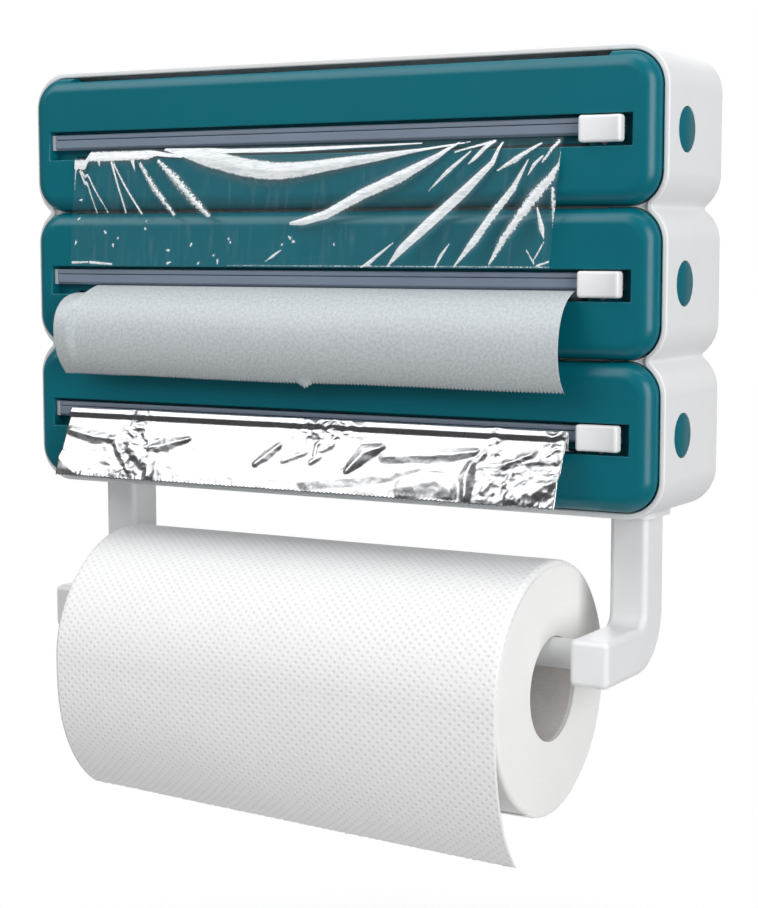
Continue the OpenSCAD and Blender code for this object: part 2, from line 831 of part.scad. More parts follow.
module towel_core() {
    color(card) towel_tube(towel_bore_r, towel_core_r);
}

module towel_roll() {
    color("white") towel_tube(towel_core_r + wound_gap, towel_r);
}

towel_rows = 40;
towel_columns = 12;
towel_fold = 1.6;
towel_fold_count = 1.2;
towel_fold_start = 0.1;
wrap_angle = 300;
wrap_share = 0.75;

// The outermost turn of towel goes over the top to the front, then hangs down with a slight bend

function towel_point(t, r) =
    t < wrap_share
        ? let (turn = 180 - wrap_angle * (1 - t / wrap_share))
            [towel_y + r * cos(turn), towel_z + r * sin(turn)]
        : let (bend = flap_angle * flap_share(t), arc = flap_r - towel_skin + r)
            [towel_y - r + arc * (1 - cos(bend)), towel_z - arc * sin(bend)];

function flap_share(t) = max(0, (t - wrap_share) / (1 - wrap_share));

function flap_fold(t, u) =
    towel_fold * flap_share(t) * sin(360 * (towel_fold_count * u + towel_fold_start));

function towel_corner(i, j, face) =
    let (
        t = i / towel_rows,
        u = j / towel_columns,
        point = towel_point(t, towel_skin + (face > 0 ? 0 : towel_sheet_t))
    )
        [towel_shift + towel_w * (u - 0.5), point[0] - abs(flap_fold(t, u)), point[1]];

module towel_sheet() {
    corners = [for (face = [-1, 1], i = [0:towel_rows], j = [0:towel_columns]) towel_corner(i, j, face)];
    color("white") polyhedron(corners, grid_faces(towel_rows, towel_columns));
}

casing_shell();
back_panel();
panel_screws();
divider(1);  // divider_upper
divider(-1);  // divider_lower
hinge_brackets();
hinge_pins();
arm_socket(-1);  // arm_socket_left
arm_socket(1);  // arm_socket_right
front_cover(FILM);  // film_cover
front_cover(PAPER);  // paper_cover
front_cover(FOIL);  // foil_cover
cutter_rail(FILM);  // film_rail
cutter_rail(PAPER);  // paper_rail
cutter_rail(FOIL);  // foil_rail
slider_knob(FILM);  // film_knob
slider_knob(PAPER);  // paper_knob
slider_knob(FOIL);  // foil_knob
slider_carriage(FILM);  // film_carriage
slider_carriage(PAPER);  // paper_carriage
slider_carriage(FOIL);  // foil_carriage
cutter_blade(FILM);  // film_blade
cutter_blade(PAPER);  // paper_blade
cutter_blade(FOIL);  // foil_blade
roll_core(FILM);  // film_core
roll_core(PAPER);  // paper_core
roll_core(FOIL);  // foil_core
wound_roll(FILM, "lightblue");  // film_roll
wound_roll(PAPER, "ivory");  // paper_roll
wound_roll(FOIL, "silver");  // foil_roll
core_cups(FILM);  // film_cups
core_cups(PAPER);  // paper_cups
core_cups(FOIL);  // foil_cups
plug_spring(FILM, -1);  // film_spring_left
plug_spring(FILM, 1);  // film_spring_right
plug_spring(PAPER, -1);  // paper_spring_left
plug_spring(PAPER, 1);  // paper_spring_right
plug_spring(FOIL, -1);  // foil_spring_left
plug_spring(FOIL, 1);  // foil_spring_right
push_plug(FILM, -1);  // film_plug_left
push_plug(FILM, 1);  // film_plug_right
push_plug(PAPER, -1);  // paper_plug_left
push_plug(PAPER, 1);  // paper_plug_right
push_plug(FOIL, -1);  // foil_plug_left
push_plug(FOIL, 1);  // foil_plug_right
hanging_sheet(FILM, "lightblue");  // film_sheet
hanging_sheet(PAPER, "ivory");  // paper_sheet
hanging_sheet(FOIL, "silver");  // foil_sheet
towel_arm(-1);  // towel_arm_left
towel_arm(1);  // towel_arm_right
towel_spindle();
towel_core();
towel_roll();
towel_sheet();
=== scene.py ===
"""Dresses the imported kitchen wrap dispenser: fuller meshes, finishes, light and camera."""

import json
import logging
import math
from dataclasses import dataclass, field
from enum import Enum
from functools import lru_cache
from typing import Any, Callable, Iterable, Sequence

import bmesh
import bpy
from bmesh.types import BMEdge, BMesh, BMFace, BMVert
from mathutils import Matrix, Vector, noise


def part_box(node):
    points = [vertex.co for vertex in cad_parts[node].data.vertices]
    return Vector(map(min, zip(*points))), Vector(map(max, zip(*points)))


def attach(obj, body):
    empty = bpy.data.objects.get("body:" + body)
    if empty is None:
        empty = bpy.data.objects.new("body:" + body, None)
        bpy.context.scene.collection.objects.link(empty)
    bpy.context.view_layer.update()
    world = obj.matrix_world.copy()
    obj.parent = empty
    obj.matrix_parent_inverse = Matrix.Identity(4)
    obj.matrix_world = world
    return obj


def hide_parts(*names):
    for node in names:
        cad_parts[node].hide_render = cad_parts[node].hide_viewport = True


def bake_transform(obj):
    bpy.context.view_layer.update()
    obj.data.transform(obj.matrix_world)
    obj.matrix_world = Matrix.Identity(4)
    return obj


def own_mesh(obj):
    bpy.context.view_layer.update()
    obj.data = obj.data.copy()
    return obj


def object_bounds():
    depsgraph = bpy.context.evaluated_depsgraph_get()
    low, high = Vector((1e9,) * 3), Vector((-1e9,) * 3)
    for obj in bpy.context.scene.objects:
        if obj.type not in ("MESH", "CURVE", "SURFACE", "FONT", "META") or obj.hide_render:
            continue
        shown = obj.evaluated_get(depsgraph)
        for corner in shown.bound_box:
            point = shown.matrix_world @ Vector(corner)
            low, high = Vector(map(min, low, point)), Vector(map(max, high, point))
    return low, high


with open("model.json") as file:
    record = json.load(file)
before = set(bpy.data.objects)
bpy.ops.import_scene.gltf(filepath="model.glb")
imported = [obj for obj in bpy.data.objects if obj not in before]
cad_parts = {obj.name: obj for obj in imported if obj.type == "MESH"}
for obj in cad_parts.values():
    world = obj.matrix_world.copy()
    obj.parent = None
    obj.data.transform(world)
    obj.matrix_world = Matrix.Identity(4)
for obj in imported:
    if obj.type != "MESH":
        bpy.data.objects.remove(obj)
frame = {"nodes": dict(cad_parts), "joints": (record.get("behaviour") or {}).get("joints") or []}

LOG = logging.getLogger("wrap_dispenser")
CAD_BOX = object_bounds()
MM = 0.001
NEAR = 0.002 * MM
NOTCH_HEIGHTS = (2.5 * MM, 0.5 * MM, 0.5 * MM)
X_AXIS = Vector((1, 0, 0))
Y_AXIS = Vector((0, 1, 0))
Z_AXIS = Vector((0, 0, 1))

Pair = tuple[float, float]
Colour = tuple[float, float, float, float]
Socket = bpy.types.NodeSocket
Material = bpy.types.Material

NOISE_SPAN: Pair = (0.3, 0.7)
HARD_EDGE = math.radians(60)
ROLL_GAP = 0.05 * MM
CORNER_MIDDLE = 0.3


class Wrap(Enum):
    """The wraps, from the top bay down."""

    FILM = "film"
    PAPER = "paper"
    FOIL = "foil"


class Side(Enum):
    """The two ends of the dispenser."""

    LEFT = -1
    RIGHT = 1

    @property
    def label(self) -> str:
        """Gives the side as the nodes' names have it."""
        return self.name.lower()


def tint(red: float, green: float, blue: float) -> Colour:
    """Gives an opaque linear colour."""
    return (red, green, blue, 1.0)


@lru_cache(maxsize=None)
def node_box(node: str) -> tuple[Vector, Vector]:
    """Gives a node's lowest and highest corners, measured once."""
    low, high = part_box(node)
    return Vector(low), Vector(high)


def joint_place(name: str) -> Vector:
    """Gives the point that a joint turns or slides at."""
    return Vector(next(joint["pos_m"] for joint in frame["joints"] if joint["name"] == name))


def smooth(low: float, high: float, value: float) -> float:
    """Eases from 0 at low to 1 at high."""
    share = min(1.0, max(0.0, (value - low) / (high - low)))
    return share * share * (3 - 2 * share)


def bezier(points: Sequence[Pair], share: float) -> Vector:
    """Gives a point on a cubic curve.

    Args:
        points: The curve's four control points, as depth and height.
        share: How far along the curve, from 0 to 1.

    Returns:
        The point, as depth and height.
    """
    rest = 1 - share
    weights = (rest ** 3, 3 * rest ** 2 * share, 3 * rest * share ** 2, share ** 3)
    return sum((Vector(point) * weight for point, weight in zip(points, weights)), Vector((0, 0)))


def along(points: Sequence[Vector], share: float) -> Vector:
    """Gives a point on a run of straight stretches, by its share of their whole length."""
    left = share * sum((second - first).length for first, second in zip(points, points[1:]))
    for first, second in zip(points, points[1:]):
        stretch = (second - first).length
        if left <= stretch:
            return first.lerp(second, left / stretch)
        left -= stretch
    return points[-1].copy()


class NodeGraph:
    """A node tree, with short calls for the nodes that finishes and surroundings share."""

    def __init__(self, tree: bpy.types.NodeTree) -> None:
        """Takes the tree."""
        self.tree = tree

    def put(self, socket: Socket, value: Any) -> None:
        """Links a socket to an output, or sets a plain value on it."""
        if isinstance(value, Socket):
            self.tree.links.new(value, socket)
        else:
            socket.default_value = value

    def node(self, kind: str, settings: dict[str, Any] | None = None, **inputs: Any) -> bpy.types.Node:
        """Adds a node.

        Args:
            kind: The node's type, without its usual beginning.
            settings: Properties of the node.
            inputs: Values or outputs for its inputs, by name.

        Returns:
            The node.
        """
        made = self.tree.nodes.new("ShaderNode" + kind)
        for key, value in (settings or {}).items():
            setattr(made, key, value)
        for key, value in inputs.items():
            self.put(made.inputs[key.replace("_", " ")], value)
        return made

    def math(self, operation: str, first: Any, second: Any = 0.0) -> Socket:
        """Adds one step of arithmetic."""
        made = self.node("Math", {"operation": operation})
        self.put(made.inputs[0], first)
        self.put(made.inputs[1], second)
        return made.outputs[0]

    def weighed(self, first: Socket, share: float, second: Socket, other_share: float) -> Socket:
        """Adds two values by their shares."""
        part = self.math("MULTIPLY", first, share)
        return self.math("ADD", part, self.math("MULTIPLY", second, other_share))

    def length(self, spoke: Socket) -> Socket:
        """Gives a vector's length."""
        return self.node("VectorMath", {"operation": "LENGTH"}, Vector=spoke).outputs["Value"]

    def remap(
        self, value: Socket, source: Pair, target: Pair, eased: bool = False
    ) -> Socket:
        """Maps one range onto another, held at its ends."""
        made = self.node(
            "MapRange",
            {"interpolation_type": "SMOOTHSTEP" if eased else "LINEAR"},
            Value=value,
            From_Min=source[0],
            From_Max=source[1],
            To_Min=target[0],
            To_Max=target[1],
        )
        return made.outputs[0]

    def blend(self, share: Socket, first: Any, second: Any) -> Socket:
        """Mixes two colours by a varying share."""
        made = self.node("Mix", {"data_type": "RGBA"})
        self.put(made.inputs[0], share)
        self.put(made.inputs[6], first)
        self.put(made.inputs[7], second)
        return made.outputs[2]


class FinishGraph(NodeGraph):
    """The node tree of one finish."""

    def __init__(self, name: str) -> None:
        """Starts a material with its principled shader."""
        self.material = bpy.data.materials.new(name)
        self.material.use_nodes = True
        super().__init__(self.material.node_tree)
        self.shader = self.tree.nodes["Principled BSDF"]

    def surface(self, **inputs: Any) -> None:
        """Sets the shader's own inputs, by name."""
        for key, value in inputs.items():
            self.put(self.shader.inputs[key.replace("_", " ")], value)

    def place(
        self, scale: Sequence[float] = (1, 1, 1), shift: Sequence[float] = (0, 0, 0)
    ) -> Socket:
        """Gives the point on the piece, scaled and then shifted."""
        point = self.node("TexCoord").outputs["Object"]
        return self.node("Mapping", Vector=point, Scale=scale, Location=shift).outputs[0]

    def cut_place(self, size: Pair) -> Socket:
        """Gives the point on a sheet's flat cut, in metres."""
        return self.stretch(self.node("TexCoord").outputs["UV"], (*size, 1))

    def stretch(self, where: Socket, scale: Sequence[float]) -> Socket:
        """Scales a point, so that a pattern on it is drawn out."""
        return self.node("Mapping", Vector=where, Scale=scale).outputs[0]

    def noise(
        self, where: Socket, grain: float, detail: float = 2.0, twist: float = 0.0
    ) -> Socket:
        """Gives soft noise, with grains of about the given size."""
        made = self.node("TexNoise", Vector=where, Scale=1 / grain, Detail=detail, Distortion=twist)
        return made.outputs["Fac"]

    def bump(
        self, height: Socket, depth: float, under: Socket | None = None
    ) -> Socket:
        """Turns a height into a tilted normal, over another bump where one is given."""
        made = self.node("Bump", Height=height, Distance=depth)
        if under is not None:
            self.put(made.inputs["Normal"], under)
        return made.outputs[0]


@dataclass(frozen=True)
class MouldedPlastic:
    """Moulded plastic with a fine spark texture and a soft clouding of tone and gloss."""

    name: str
    colour: Colour
    deep_colour: Colour
    roughness: Pair
    grain: float = 0.45 * MM
    grain_depth: float = 0.006 * MM
    cloud: float = 70 * MM
    gloss: float = 0.5

    def make(self) -> Material:
        """Builds the material."""
        graph = FinishGraph(self.name)
        place = graph.place()
        cloud = graph.noise(place, self.cloud, 3)
        grain = graph.noise(place, self.grain, 2)
        wear = graph.math("MULTIPLY", cloud, graph.noise(place, self.cloud / 12, 4))
        graph.surface(
            Base_Color=graph.blend(graph.remap(cloud, (0.35, 0.65), (0, 1)), self.colour, self.deep_colour),
            Roughness=graph.remap(wear, (0.12, 0.4), self.roughness),
            Specular_IOR_Level=self.gloss,
            Normal=graph.bump(grain, self.grain_depth),
        )
        return graph.material


@dataclass(frozen=True)
class DrawnSteel:
    """Bright steel with fine lines along one direction."""

    name: str
    colour: Colour = tint(0.58, 0.59, 0.61)
    stained: Colour = tint(0.42, 0.43, 0.46)
    line_stretch: tuple[float, float, float] = (1, 60, 60)
    line: float = 18 * MM

    def make(self) -> Material:
        """Builds the material."""
        graph = FinishGraph(self.name)
        lines = graph.noise(graph.place(self.line_stretch), self.line, 4)
        stain = graph.noise(graph.place(), 6 * MM, 3)
        graph.surface(
            Base_Color=graph.blend(stain, self.colour, self.stained),
            Metallic=1.0,
            Roughness=graph.remap(lines, NOISE_SPAN, (0.22, 0.42)),
            Normal=graph.bump(lines, 0.01 * MM),
        )
        return graph.material


@dataclass(frozen=True)
class Cardboard:
    """Grey core board: fibres, blotches and a matt skin."""

    name: str
    colour: Colour = tint(0.62, 0.59, 0.565)
    pale: Colour = tint(0.74, 0.72, 0.70)

    def make(self) -> Material:
        """Builds the material."""
        graph = FinishGraph(self.name)
        fibre = graph.noise(graph.place((0.25, 1, 1)), 0.7 * MM, 4)
        blotch = graph.noise(graph.place(), 9 * MM, 3)
        tone = graph.weighed(fibre, 0.6, blotch, 0.5)
        graph.surface(
            Base_Color=graph.blend(graph.remap(tone, (0.35, 0.75), (0, 1)), self.colour, self.pale),
            Roughness=graph.remap(fibre, NOISE_SPAN, (0.82, 0.95)),
            Normal=graph.bump(fibre, 0.05 * MM),
        )
        return graph.material


@dataclass(frozen=True)
class WoundLayers:
    """Many turns of one wrap: rings on the ends, faint bands along the turns."""

    name: str
    colour: Colour
    dark: Colour
    axis: Pair
    layer: float
    roughness: Pair = (0.5, 0.7)
    metallic: float = 0.0
    layer_depth: float = 0.12 * MM

    def make(self) -> Material:
        """Builds the material."""
        graph = FinishGraph(self.name)
        spoke = graph.place((0, 1, 1), (0, -self.axis[0], -self.axis[1]))
        reach = graph.length(spoke)
        along = graph.node("CombineXYZ", X=reach).outputs[0]
        rings = graph.noise(along, self.layer, 3)
        drift = graph.noise(graph.place(), 30 * MM, 3)
        mixed = graph.weighed(rings, 0.7, drift, 0.3)
        graph.surface(
            Base_Color=graph.blend(graph.remap(mixed, NOISE_SPAN, (0, 1)), self.dark, self.colour),
            Metallic=self.metallic,
            Roughness=graph.remap(drift, NOISE_SPAN, self.roughness),
            Normal=graph.bump(rings, self.layer_depth),
        )
        return graph.material


@dataclass(frozen=True)
class ClearFilm:
    """Clear clinging film: nearly invisible, solid white where it is creased, with grey strokes in the
    creases as painted shade of their small folds.
    """

    name: str
    cut: Pair
    haze: float = 0.05
    crease_haze: float = 0.96
    edge: float = 0.24
    pull: float = 0.12
    clear_colour: Colour = tint(0.30, 0.36, 0.38)
    fold_shade_colour: Colour = tint(0.66, 0.71, 0.74)
    crease_colour: Colour = tint(0.88, 0.91, 0.93)

    def make(self) -> Material:
        """Builds the material, which reads the sheet's crease and rough attributes."""
        graph = FinishGraph(self.name)
        flat = graph.cut_place(self.cut)
        crease = graph.node("Attribute", {"attribute_name": "crease"}).outputs["Fac"]
        rough = graph.node("Attribute", {"attribute_name": "rough"}).outputs["Fac"]
        ragged = graph.noise(flat, 1.1 * MM, 4, 1.2)
        strained = graph.noise(graph.stretch(flat, (1, self.pull, 1)), 3 * MM, 3, 0.6)
        crackle = graph.math("MULTIPLY", rough, graph.remap(ragged, (0.38, 0.6), (0.35, -0.75)))
        solid = graph.remap(graph.math("ADD", crease, crackle), (0, self.edge), (0, 1), True)
        near = graph.remap(crease, (-1, 0), (0, 0.22), True)
        veil = graph.math("MULTIPLY", graph.remap(ragged, (0.4, 0.65), (0.2, 1)), near)
        lines = graph.remap(strained, (0.5, 0.74), (0, 0.07), True)
        white = graph.math("ADD", solid, graph.math("MAXIMUM", veil, lines))
        # Painted shade: grey strokes drawn out along the pull darken the white creases, standing in for the
        # shade of their small folds.
        drawn = graph.noise(graph.stretch(flat, (self.pull, 1, 1)), 0.9 * MM, 3, 1.0)
        fold_shade = graph.remap(drawn, (0.35, 0.6), (0, 1), True)
        shaded_crease = graph.blend(fold_shade, self.fold_shade_colour, self.crease_colour)
        graph.surface(
            Base_Color=graph.blend(white, self.clear_colour, shaded_crease),
            Roughness=graph.remap(ragged, NOISE_SPAN, (0.14, 0.3)),
            Alpha=graph.remap(white, (0, 1), (self.haze, self.crease_haze)),
            Normal=graph.bump(ragged, 0.08 * MM),
        )
        return graph.material


@dataclass(frozen=True)
class BakingPaper:
    """Cool white parchment: cloudy fibres, a faint sheen and a cockled skin."""

    name: str
    cut: Pair
    colour: Colour = tint(0.56, 0.60, 0.62)
    cloudy: Colour = tint(0.45, 0.49, 0.51)

    def make(self) -> Material:
        """Builds the material."""
        graph = FinishGraph(self.name)
        flat = graph.cut_place(self.cut)
        cloud = graph.noise(flat, 1.6 * MM, 4)
        fibre = graph.noise(flat, 0.6 * MM, 2)
        tone = graph.weighed(cloud, 0.7, fibre, 0.3)
        graph.surface(
            Base_Color=graph.blend(graph.remap(tone, (0.36, 0.62), (0, 1), True), self.cloudy, self.colour),
            Roughness=graph.remap(tone, NOISE_SPAN, (0.36, 0.5)),
            Normal=graph.bump(cloud, 0.06 * MM),
        )
        return graph.material


@dataclass(frozen=True)
class BrightFoil:
    """Rolled aluminium foil: bright, with rolling lines and pin wrinkles."""

    name: str
    cut: Pair
    line_stretch: float = 25.0
    colour: Colour = tint(0.50, 0.505, 0.515)
    pale: Colour = tint(0.57, 0.575, 0.585)

    def make(self) -> Material:
        """Builds the material."""
        graph = FinishGraph(self.name)
        flat = graph.cut_place(self.cut)
        lines = graph.noise(graph.stretch(flat, (self.line_stretch, 1, 1)), 9 * MM, 3)
        wrinkle = graph.noise(flat, 2.2 * MM, 3, 1.0)
        graph.surface(
            Base_Color=graph.blend(lines, self.colour, self.pale),
            Metallic=1.0,
            Roughness=graph.remap(wrinkle, NOISE_SPAN, (0.27, 0.38)),
            Normal=graph.bump(wrinkle, 0.03 * MM, graph.bump(lines, 0.01 * MM)),
        )
        return graph.material


@dataclass(frozen=True)
class EmbossedTissue:
    """Soft towel tissue with staggered embossed dots and loose fibres; the dots' hollows are darkened in
    colour as painted shade.
    """

    name: str
    cut: Pair
    dot_pitch: Pair = (5.0 * MM, 4.6 * MM)
    dot_depth: float = 0.2 * MM
    colour: Colour = tint(0.88, 0.88, 0.885)
    # Painted shade: the colour that the embossed dots' hollows are darkened towards.
    shade: Colour = tint(0.77, 0.77, 0.78)

    def make(self) -> Material:
        """Builds the material."""
        graph = FinishGraph(self.name)
        flat = graph.cut_place(self.cut)
        across, along, _ = graph.node("SeparateXYZ", Vector=flat).outputs
        waves = [
            graph.math("COSINE", graph.math("MULTIPLY", run, math.tau / pitch))
            for run, pitch in zip((across, along), self.dot_pitch)
        ]
        dot = graph.remap(graph.math("MULTIPLY", *waves), (0.15, 0.85), (0, 1), True)
        fibre = graph.noise(flat, 0.5 * MM, 3)
        cloud = graph.noise(flat, 18 * MM, 2)
        # Painted shade: the dots' hollows are darkened in colour, varied at random by a broad cloud, on top
        # of their bump.
        tone = graph.math("MULTIPLY", dot, graph.remap(cloud, NOISE_SPAN, (0.55, 1)))
        hollow = graph.math("SUBTRACT", 1.0, dot)
        graph.surface(
            Base_Color=graph.blend(tone, self.colour, self.shade),
            Roughness=graph.remap(fibre, NOISE_SPAN, (0.85, 1)),
            Sheen_Weight=0.15,
            Normal=graph.bump(hollow, self.dot_depth, graph.bump(fibre, 0.06 * MM)),
        )
        return graph.material


class Palette:
    """Every finish of the dispenser, made once."""

    def __init__(self) -> None:
        """Makes the finishes that don't depend on a sheet's cut."""
        self.white = MouldedPlastic(
            "white_plastic", tint(0.83, 0.84, 0.85), tint(0.80, 0.81, 0.82), (0.34, 0.46)
        ).make()
        self.teal = MouldedPlastic(
            "teal_plastic",
            tint(0.0012, 0.142, 0.186),
            tint(0.001, 0.133, 0.176),
            (0.28, 0.32),
            gloss=0.36,
        ).make()
        self.rail = MouldedPlastic(
            "blue_grey_plastic", tint(0.20, 0.25, 0.325), tint(0.185, 0.23, 0.30), (0.42, 0.55)
        ).make()
        self.rail_end = MouldedPlastic(
            "pale_grey_plastic", tint(0.46, 0.48, 0.52), tint(0.42, 0.44, 0.48), (0.42, 0.55)
        ).make()
        self.steel = DrawnSteel("drawn_steel").make()
        self.card = Cardboard("core_board").make()


def bevel(bm: BMesh, edges: Iterable[BMEdge], width: float, segments: int) -> None:
    """Rounds edges in place."""
    bm.normal_update()
    bmesh.ops.bevel(
        bm,
        geom=list(edges),
        offset=width,
        offset_type="OFFSET",
        segments=segments,
        profile=0.5,
        affect="EDGES",
        material=-1,
        clamp_overlap=False,
    )


def flat_at(items: Iterable[BMVert], axis: int, level: float) -> bool:
    """Says whether all the vertices lie at one level of an axis."""
    return all(abs(vert.co[axis] - level) < NEAR for vert in items)


def slice_at(bm: BMesh, axis: int, level: float, faces: Sequence[BMFace] | None = None) -> None:
    """Cuts edges into the mesh along a plane, across all of it or only some faces.

    Args:
        bm: The mesh.
        axis: The axis that the plane stands square to, from 0 to 2.
        level: The plane's place along that axis.
        faces: The faces to cut, or None for the whole mesh.
    """
    point = Vector((0, 0, 0))
    point[axis] = level
    square = Vector((0, 0, 0))
    square[axis] = 1
    cut = list(bm.faces if faces is None else faces)
    edges = {edge for face in cut for edge in face.edges}
    verts = {vert for face in cut for vert in face.verts}
    bmesh.ops.bisect_plane(
        bm, geom=[*verts, *edges, *cut], dist=NEAR, plane_co=point, plane_no=square
    )


def faces_at(bm: BMesh, axis: int, level: float) -> list[BMFace]:
    """Gives the flat faces at one level of an axis."""
    return [face for face in bm.faces if flat_at(face.verts, axis, level)]


def edges_at(bm: BMesh, axis: int, level: float) -> list[BMEdge]:
    """Gives the edges that lie at one level of an axis."""
    return [edge for edge in bm.edges if flat_at(edge.verts, axis, level)]


def faces_where(bm: BMesh, test: Callable[[Vector], bool]) -> list[BMFace]:
    """Gives the faces whose middles pass a test."""
    return [face for face in bm.faces if test(face.calc_center_median())]


def verts_in(made: Iterable[Any]) -> list[BMVert]:
    """Gives the vertices among what an operator made."""
    return [item for item in made if isinstance(item, BMVert)]


def block(bm: BMesh, low: Vector, high: Vector) -> list[BMVert]:
    """Adds a box between two corners and gives its vertices."""
    made = bmesh.ops.create_cube(bm, size=1)["verts"]
    bmesh.ops.scale(bm, vec=high - low, verts=made)
    bmesh.ops.translate(bm, vec=(low + high) / 2, verts=made)
    return made


def edges_of(verts: Iterable[BMVert]) -> list[BMEdge]:
    """Gives the edges that run between the vertices."""
    kept = set(verts)
    return [edge for edge in {e for v in kept for e in v.link_edges} if all(v in kept for v in edge.verts)]


def draw_out(bm: BMesh, edges: Sequence[BMEdge], axis: int, level: float) -> list[BMEdge]:
    """Draws a loop of edges out into a wall.

    Args:
        bm: The mesh.
        edges: The loop.
        axis: The axis along which the wall runs.
        level: Where the wall ends.

    Returns:
        The loop at the wall's far end.
    """
    made = bmesh.ops.extrude_edge_only(bm, edges=list(edges))["geom"]
    verts = verts_in(made)
    for vert in verts:
        vert.co[axis] = level
    return edges_of(verts)


def draw_in(bm: BMesh, edges: Sequence[BMEdge], distance: float) -> list[BMEdge]:
    """Draws a wall's edge inwards into a flat rim, square to the wall.

    Args:
        bm: The mesh, whose wall faces outwards.
        edges: The wall's edge loop.
        distance: The rim's width.

    Returns:
        The loop at the rim's inner side.
    """
    bm.normal_update()
    outwards = {vert: vert.normal.copy() for edge in edges for vert in edge.verts}
    made = bmesh.ops.extrude_edge_only(bm, edges=list(edges))["geom"]
    verts = verts_in(made)
    for vert in verts:
        old = next(other for edge in vert.link_edges for other in edge.verts if other in outwards)
        vert.co = old.co - outwards[old] * distance
    return edges_of(verts)


def fill(bm: BMesh, *loops: Sequence[BMEdge]) -> None:
    """Fills the flat area between loops."""
    bmesh.ops.triangle_fill(bm, use_beauty=True, edges=[edge for loop in loops for edge in loop])


def turn(
    bm: BMesh, profile: Sequence[Pair], centre: Vector, axis: Vector, spoke: Vector, steps: int = 64
) -> list[BMVert]:
    """Turns a profile round an axis, as on a lathe.

    Args:
        bm: The mesh.
        profile: Points as places along the axis and radii, closed unless the first is on the axis.
        centre: A point on the axis.
        axis: The axis' direction.
        spoke: A direction square to the axis.
        steps: How many steps make the round.

    Returns:
        The new vertices.
    """
    before = set(bm.verts)
    verts = [bm.verts.new(centre + axis * along + spoke * radius) for along, radius in profile]
    edges = [bm.edges.new(pair) for pair in zip(verts, verts[1:])]
    if profile[0][1] > NEAR:
        edges.append(bm.edges.new((verts[-1], verts[0])))
    bmesh.ops.spin(
        bm, geom=[*verts, *edges], cent=centre, axis=axis, angle=math.tau, steps=steps, use_merge=True
    )
    made = [vert for vert in bm.verts if vert not in before]
    bmesh.ops.remove_doubles(bm, verts=made, dist=NEAR)
    return [vert for vert in made if vert.is_valid]


def tube(bm: BMesh, ends: Pair, radii: Pair, centre: Vector, steps: int = 64) -> list[BMVert]:
    """Turns a plain tube along X and gives its vertices.

    Args:
        bm: The mesh.
        ends: Where the tube starts and stops.
        radii: Its inner and outer radius.
        centre: A point on its axis, at X 0.
        steps: How many steps make the round.

    Returns:
        The new vertices.
    """
    start, stop = ends
    inner, outer = radii
    ring = [(start, inner), (start, outer), (stop, outer), (stop, inner)]
    return turn(bm, ring, centre, X_AXIS, Z_AXIS, steps)


def softened(end: float, radius: float, ease: float, inwards: int) -> list[Pair]:
    """Gives a softened corner of a turned profile, from its end face round to its side.

    Args:
        end: Where the end face lies along the axis.
        radius: The radius of the side.
        ease: How far the corner is rounded.
        inwards: The way along the axis from the end face into the piece, 1 or -1.

    Returns:
        Three points, as places along the axis and radii.
    """
    middle = CORNER_MIDDLE * ease
    return [(end, radius - ease), (end + inwards * middle, radius - middle), (end + inwards * ease, radius)]


def draw_section(bm: BMesh, outline: Sequence[Pair], ends: Pair) -> None:
    """Adds a bar along X.

    Args:
        bm: The mesh.
        outline: The bar's section, as depths and heights.
        ends: Where the bar starts and stops.
    """
    section = bm.faces.new([bm.verts.new((ends[0], depth, height)) for depth, height in outline])
    made = bmesh.ops.extrude_face_region(bm, geom=[section], use_keep_orig=True)["geom"]
    bmesh.ops.translate(bm, vec=(ends[1] - ends[0], 0, 0), verts=verts_in(made))


class OutlinePen:
    """Traces the right half of an upright outline, at one depth, and mirrors it."""

    def __init__(self, bm: BMesh, start: Vector) -> None:
        """Sets the pen down."""
        self.bm = bm
        self.before = set(bm.edges)
        self.old_verts = set(bm.verts)
        self.tip = bm.verts.new(start)

    def line_to(self, across: float, height: float) -> None:
        """Draws a straight run."""
        made = bmesh.ops.extrude_vert_indiv(self.bm, verts=[self.tip])
        self.tip = made["verts"][0]
        self.tip.co.x = across
        self.tip.co.z = height

    def arc(self, across: float, height: float, degrees: float, steps: int) -> None:
        """Draws a round stretch about a centre, clockwise as seen from the front."""
        made = bmesh.ops.spin(
            self.bm,
            geom=[self.tip],
            cent=(across, self.tip.co.y, height),
            axis=Y_AXIS,
            angle=math.radians(degrees),
            steps=steps,
        )
        self.tip = verts_in(made["geom_last"])[0]

    def mirrored(self) -> list[BMEdge]:
        """Mirrors the half to the left and gives the whole loop."""
        verts = [vert for vert in self.bm.verts if vert not in self.old_verts]
        edges = [edge for edge in self.bm.edges if edge not in self.before]
        half = [*verts, *edges]
        bmesh.ops.mirror(self.bm, geom=half, matrix=Matrix.Identity(4), merge_dist=NEAR, axis="X")
        return [edge for edge in self.bm.edges if edge not in self.before]


